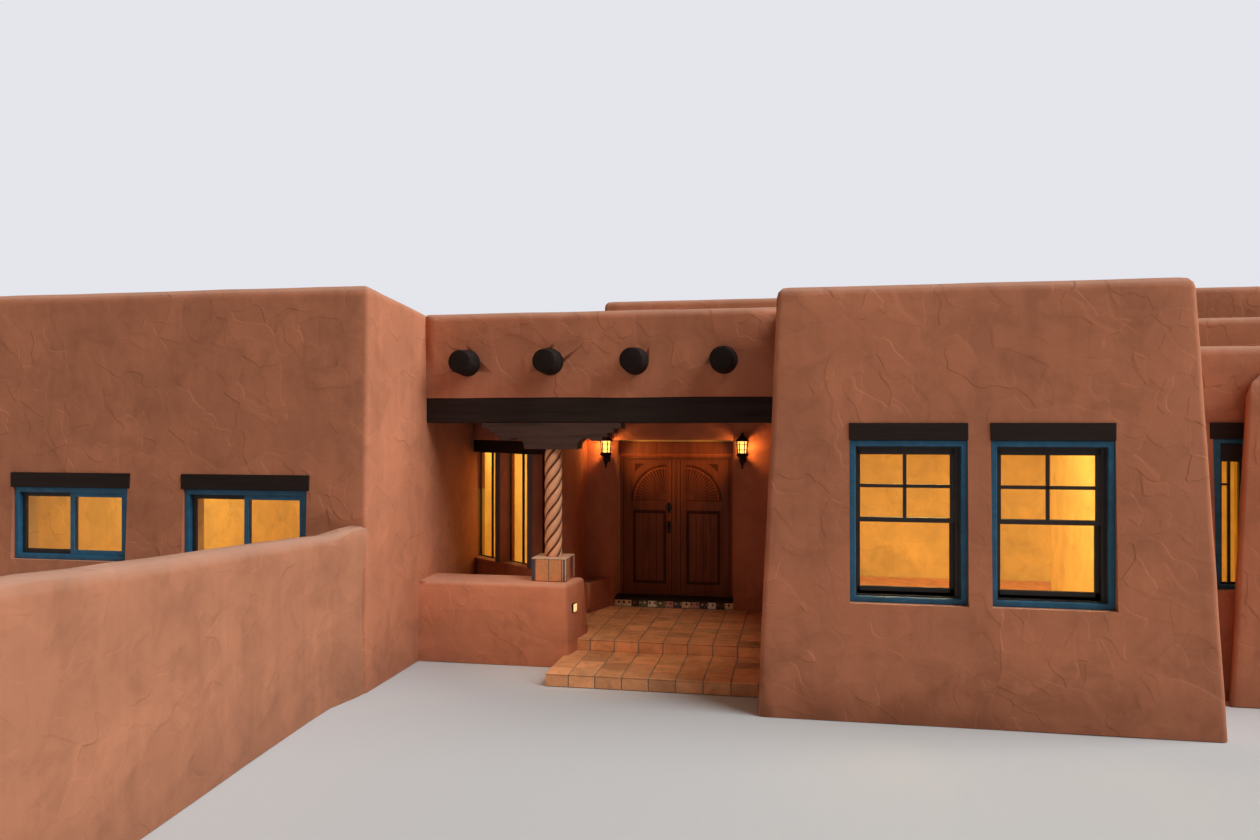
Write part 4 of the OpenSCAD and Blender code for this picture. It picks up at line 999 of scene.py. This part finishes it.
class HOUSE_OT_doors(bpy.types.Operator):
    """Dresses the carved leaves, the frame and the ironwork of the front door"""

    bl_idname = "house.doors"
    bl_label = "Dress Doors"

    def arc(self, sign, radius, minor, y, name):
        """A quarter ring about the carved sun's middle."""
        bpy.ops.object.select_all(action="DESELECT")
        bpy.ops.mesh.primitive_torus_add(major_radius=radius, minor_radius=minor, major_segments=96, minor_segments=8,
                                         rotation=(math.pi / 2, 0, 0), location=(SUN_X, y, SUN_Z))
        obj = settle(bpy.context.object)
        bpy.ops.object.mode_set(mode="EDIT")
        for normal in ((1, 0, 0), (0, 0, 1)):
            bpy.ops.mesh.select_all(action="SELECT")
            bpy.ops.mesh.bisect(plane_co=(SUN_X + 0.001, y, SUN_Z + 0.001), plane_no=normal, clear_inner=True, use_fill=True)
        bpy.ops.object.mode_set(mode="OBJECT")
        obj.data.transform(Matrix.Scale(sign, 4, (1, 0, 0)))
        if sign < 0:
            obj.data.flip_normals()
        return dress(obj, name)

    def mouldings(self, sign):
        """Rim beads of the sun, beads on the meeting stile and lines across the rails, in painted highlight and
        painted shade.
        """
        parts = [self.arc(sign, SUN_R * 0.955, 0.009, 0.006, "door_painted_highlight"),
                 self.arc(sign, SUN_R + 0.016, 0.009, 0.002, "door_painted_shade")]
        beads = [(0.038, 0.046, 0.44, 2.42, "door_painted_highlight"), (0.086, 0.094, 0.44, 2.42, "door_painted_highlight"),
                 (0.062, 0.070, 0.44, 2.42, "door_painted_shade"), (SUN_X, SUN_X + SUN_R, SUN_Z - 0.008, SUN_Z, "door_painted_shade"),
                 (SUN_X, SUN_X + SUN_R, SUN_Z - 0.163, SUN_Z - 0.151, "door_painted_shade")]
        # A dark strip in the gap between the leaves: painted shade.
        low, high = sorted((sign * 0.0003, sign * 0.004))
        parts.append(dress(block((low, 0.040, 0.44), (high, 0.049, 2.42), 0), "door_painted_shade"))
        for x0, x1, z0, z1, name in beads:
            low, high = sorted((sign * x0, sign * x1))
            parts.append(dress(block((low, -0.004, z0), (high, 0.003, z1), 0.0015), name))
        # Dark grooves across the rails: painted shade.
        for i in range(1, 4):
            x = sign * (SUN_X + 0.045 + i * (SUN_R - 0.09) / 4)
            parts.append(dress(block((x - 0.003, 0.0035, 0.63), (x + 0.003, 0.008, SUN_Z - 0.21), 0.001), "door_painted_shade"))
        return parts

    def execute(self, context):
        for side, sign in (("left", -1), ("right", 1)):
            leaf = soften(cad_copy("door_leaf_" + side, False), 0.0025, 2, 40)
            dress(leaf, "door_upright", "door_painted_shade")
            # Recessed front faces and the sides of the carved sun take painted shade.
            for face in leaf.data.polygons:
                across, up = abs(face.center.x) - SUN_X, face.center.z - SUN_Z
                in_sun = across > 0 and up > 0 and math.hypot(across, up) < SUN_R
                if face.normal.y < -0.7 and face.center.y > 0.0125 or in_sun and -0.9 < face.normal.y < 0.5:
                    face.material_index = 1
            parts = [leaf] + self.mouldings(sign)
            keep("carved_leaf_" + side, parts, "leaf_" + side, ["door_leaf_" + side])
        casing = [dress(soften(cad_copy("door_frame"), 0.004, 2), "door_upright")]
        # Pale outer beads of the casing: painted highlight.
        for x0, x1, z0, z1 in ((-0.850, -0.835, FLOOR_Z, 2.497), (0.835, 0.850, FLOOR_Z, 2.497), (-0.850, 0.850, 2.484, 2.498)):
            casing.append(dress(block((x0, -0.040, z0), (x1, -0.026, z1), 0.005, 3), "door_painted_highlight"))
        # Dark strips at the door stops: painted shadow.
        for x0, x1, z0, z1 in ((-0.798, -0.786, FLOOR_Z, 2.45), (0.786, 0.798, FLOOR_Z, 2.45), (-0.798, 0.798, 2.445, 2.457)):
            casing.append(dress(block((x0, -0.034, z0), (x1, -0.028, z1), 0.002), "door_painted_shade"))
        casing.append(dress(block((-0.868, -0.036, 2.515), (0.868, -0.018, 2.70), 0.010), "door_upright"))
        # Dark strips at the edges of the door recess: painted shade.
        for x0, x1, z0 in ((-0.8745, -0.860, FLOOR_Z), (0.860, 0.8745, FLOOR_Z), (-0.8745, 0.8745, 2.69)):
            casing.append(dress(block((x0, -0.012, z0), (x1, 0.006, 2.7295), 0.001), "door_painted_shade"))
        # A pale strip along the casing head: painted highlight.
        casing.append(dress(block((-0.868, -0.044, 2.500), (0.868, -0.020, 2.522), 0.006), "door_painted_highlight"))
        keep("door_casing", casing, replaces=["door_frame"])
        iron = soften(cad_copy("door_handle"), 0.002, 2, 50)
        keep("door_ironwork", [dress(iron, "iron")], "leaf_left", ["door_handle"])
        return {"FINISHED"}


class HOUSE_OT_lanterns(bpy.types.Operator):
    """Hangs the wall lanterns and sets the step light"""

    bl_idname = "house.lanterns"
    bl_label = "Hang Lanterns"

    def execute(self, context):
        iron, lit = [], []
        for x in (-0.97, 1.01):
            middle = (x, ENTRY_Y - 0.12, 2.32)
            tail = turned([(0.0, 0.0), (0.014, 0.008), (0.010, 0.03), (0.026, 0.08), (0.044, 0.125), (0.036, 0.16),
                           (0.086, 0.193), (0.088, 0.205), (0.074, 0.229), (0.0, 0.230)], middle)
            cap = turned([(0.0, 0.398), (0.098, 0.398), (0.100, 0.405), (0.070, 0.436), (0.040, 0.468),
                          (0.022, 0.487), (0.012, 0.494), (0.024, 0.505), (0.014, 0.516), (0.0, 0.520)], middle)
            iron += [tail, cap]
            for i in range(6):
                bar = block((-0.006, -0.006, 0), (0.006, 0.006, 0.172), 0.0015)
                bar.data.transform(Matrix.Rotation(math.radians(4.5), 4, "Y") @ Matrix.Translation((0.064, 0, 0)))
                bar.data.transform(Matrix.Translation((x, middle[1], 2.547)) @ Matrix.Rotation(math.radians(60 * i), 4, "Z"))
                iron.append(bar)
            for i in range(8):
                rib = block((0.020, -0.003, 0.0), (0.112, 0.003, 0.008), 0.002)
                rib.data.transform(Matrix.Rotation(math.radians(44), 4, "Y"))
                rib.data.transform(Matrix.Translation((x, middle[1], 2.812)) @ Matrix.Rotation(math.radians(45 * i), 4, "Z"))
                iron.append(rib)
            for height in (2.60, 2.672):
                bpy.ops.object.select_all(action="DESELECT")
                bpy.ops.mesh.primitive_torus_add(major_radius=0.071, minor_radius=0.005, major_segments=24,
                                                 minor_segments=6, location=(x, middle[1], height))
                iron.append(settle(bpy.context.object))
            iron.append(block((x - 0.045, ENTRY_Y - 0.012, 2.41), (x + 0.045, ENTRY_Y + 0.002, 2.72), 0.004))
            iron.append(block((x - 0.008, ENTRY_Y - 0.12, 2.448), (x + 0.008, ENTRY_Y - 0.006, 2.464), 0.003))
            lit.append(turned([(0.0, 0.231), (0.058, 0.232), (0.070, 0.396), (0.0, 0.397)], middle, 6))
        for part in iron:
            dress(part, "iron")
        for part in lit:
            dress(part, "lamp_glass")
        keep("lantern_ironwork", iron, replaces=["lanterns"])
        keep("lantern_glass", lit).visible_shadow = False
        turn = Matrix.Translation((-0.942, -2.50, 0)) @ Matrix.Rotation(math.radians(-7.2), 4, "Z")
        pane = dress(block((-0.012, -0.052, 0.638), (0.018, 0.052, 0.732), 0.002), "step_light")
        rim = dress(block((-0.014, -0.060, 0.630), (0.014, 0.060, 0.740), 0.003), "iron")
        for part in (pane, rim):
            part.data.transform(turn)
        keep("step_light", [pane])
        keep("step_light_rim", [rim])
        return {"FINISHED"}


class HOUSE_OT_stage(bpy.types.Operator):
    """Sets the floor, the lamps and the camera"""

    bl_idname = "house.stage"
    bl_label = "Set Stage"

    def lamp(self, name, kind, place, aim, energy, colour, size=1.0):
        data = bpy.data.lights.new(name, kind)
        data.energy = energy
        data.color = colour
        if kind == "AREA":
            data.size = size
        elif kind == "SUN":
            data.angle = math.radians(size)
        elif kind == "POINT":
            data.shadow_soft_size = size
        else:
            data.shadow_soft_size = 0.06
            data.spot_size = math.radians(size)
            data.spot_blend = 1.0
        lamp = bpy.data.objects.new(name, data)
        bpy.context.scene.collection.objects.link(lamp)
        lamp.location = place
        lamp.rotation_euler = (Vector(aim) - Vector(place)).to_track_quat("-Z", "Y").to_euler()

    def execute(self, context):
        scene = context.scene
        bpy.ops.object.select_all(action="DESELECT")
        bpy.ops.mesh.primitive_plane_add(size=160.0, location=(0, 0, -0.004))
        floor = bpy.context.object
        floor.name = "studio_floor"
        s = Shader("studio_floor")
        cloud = s.noise(s.place, 0.08, 2.0)
        floor.data.materials.append(s.finish(s.ramp(cloud, [(0.3, 0.53), (0.7, 0.57)]), 0.9))
        settle(floor)

        world = bpy.data.worlds.new("studio")
        scene.world = world
        world.use_nodes = True
        tree = world.node_tree
        background = tree.nodes["Background"]
        path = tree.nodes.new("ShaderNodeLightPath")
        choose = tree.nodes.new("ShaderNodeMix")
        choose.data_type = "RGBA"
        choose.inputs[6].default_value = (0.225, 0.165, 0.125, 1.0)
        choose.inputs[7].default_value = (0.78, 0.79, 0.84, 1.0)
        tree.links.new(path.outputs["Is Camera Ray"], choose.inputs[0])
        tree.links.new(choose.outputs[2], background.inputs["Color"])

        self.lamp("key", "SUN", (10, -1.5, 9.1), (0, 0, 0), 3.65, (0.90, 0.97, 1.0), 50.0)
        warm = (1.0, 0.71, 0.27)
        self.lamp("left_room", "AREA", (-5.5, -0.6, 3.85), (-5.5, -0.6, 0), 118, warm, 2.0)
        self.lamp("right_room", "AREA", (3.3, -2.0, 3.85), (3.3, -2.0, 0), 165, warm, 1.4)
        self.lamp("bay_room", "AREA", (7.3, -0.6, 3.35), (7.3, -0.6, 0), 110, warm, 1.4)
        self.lamp("great_room", "AREA", (4.0, 4.8, 4.55), (4.0, 4.8, 0), 360, warm, 2.6)
        self.lamp("nook_room", "AREA", (-2.3, 0.5, 3.8), (-2.3, 0.5, 0), 80, warm, 0.8)
        fire = (1.0, 0.43, 0.11)
        for x in (-0.97, 1.01):
            self.lamp("lantern", "POINT", (x, ENTRY_Y - 0.12, 2.63), (x, 0, 0), 9, fire, 0.03)
            self.lamp("lantern_spill", "SPOT", (x * 0.84, ENTRY_Y - 0.28, 2.60), (x * 0.4, 0, 2.36), 16, fire, 74)
        self.lamp("porch_fill", "SPOT", (-0.4, -7.0, 8.0), (-0.6, -2.2, 0.3), 900, (1.0, 0.80, 0.60), 27)

        data = bpy.data.cameras.new("camera")
        data.sensor_width = 36.0
        data.lens = 36.0 * 930.0 / 1260.0
        data.clip_end = 300.0
        camera = bpy.data.objects.new("camera", data)
        scene.collection.objects.link(camera)
        camera.location = (1.85, -13.75, 2.98)
        camera.rotation_euler = (math.radians(90.18), 0, math.radians(10.5))
        scene.camera = camera
        scene.view_settings.view_transform = "Standard"
        return {"FINISHED"}


OPERATORS = (HOUSE_OT_walls, HOUSE_OT_roofs, HOUSE_OT_timbers, HOUSE_OT_column, HOUSE_OT_floors, HOUSE_OT_windows,
             HOUSE_OT_doors, HOUSE_OT_lanterns, HOUSE_OT_stage)


class HOUSE_PT_panel(bpy.types.Panel):
    bl_label = "Adobe House"
    bl_space_type = "VIEW_3D"
    bl_region_type = "UI"
    bl_category = "House"

    def draw(self, context):
        for group in (context.scene.house_sizes, context.scene.house_colours):
            for name in group.bl_rna.properties.keys():
                if name not in ("rna_type", "name"):
                    self.layout.prop(group, name)
        for operator in OPERATORS:
            self.layout.operator(operator.bl_idname)


def register():
    for cls in (HouseSizes, HouseColours, *OPERATORS, HOUSE_PT_panel):
        bpy.utils.register_class(cls)
    bpy.types.Scene.house_sizes = bpy.props.PointerProperty(type=HouseSizes)
    bpy.types.Scene.house_colours = bpy.props.PointerProperty(type=HouseColours)


def unregister():
    del bpy.types.Scene.house_colours
    del bpy.types.Scene.house_sizes
    for cls in reversed((HouseSizes, HouseColours, *OPERATORS, HOUSE_PT_panel)):
        bpy.utils.unregister_class(cls)


def main():
    register()
    for operator in OPERATORS:
        group, name = operator.bl_idname.split(".")
        getattr(getattr(bpy.ops, group), name)()


if __name__ == "__main__":
    main()
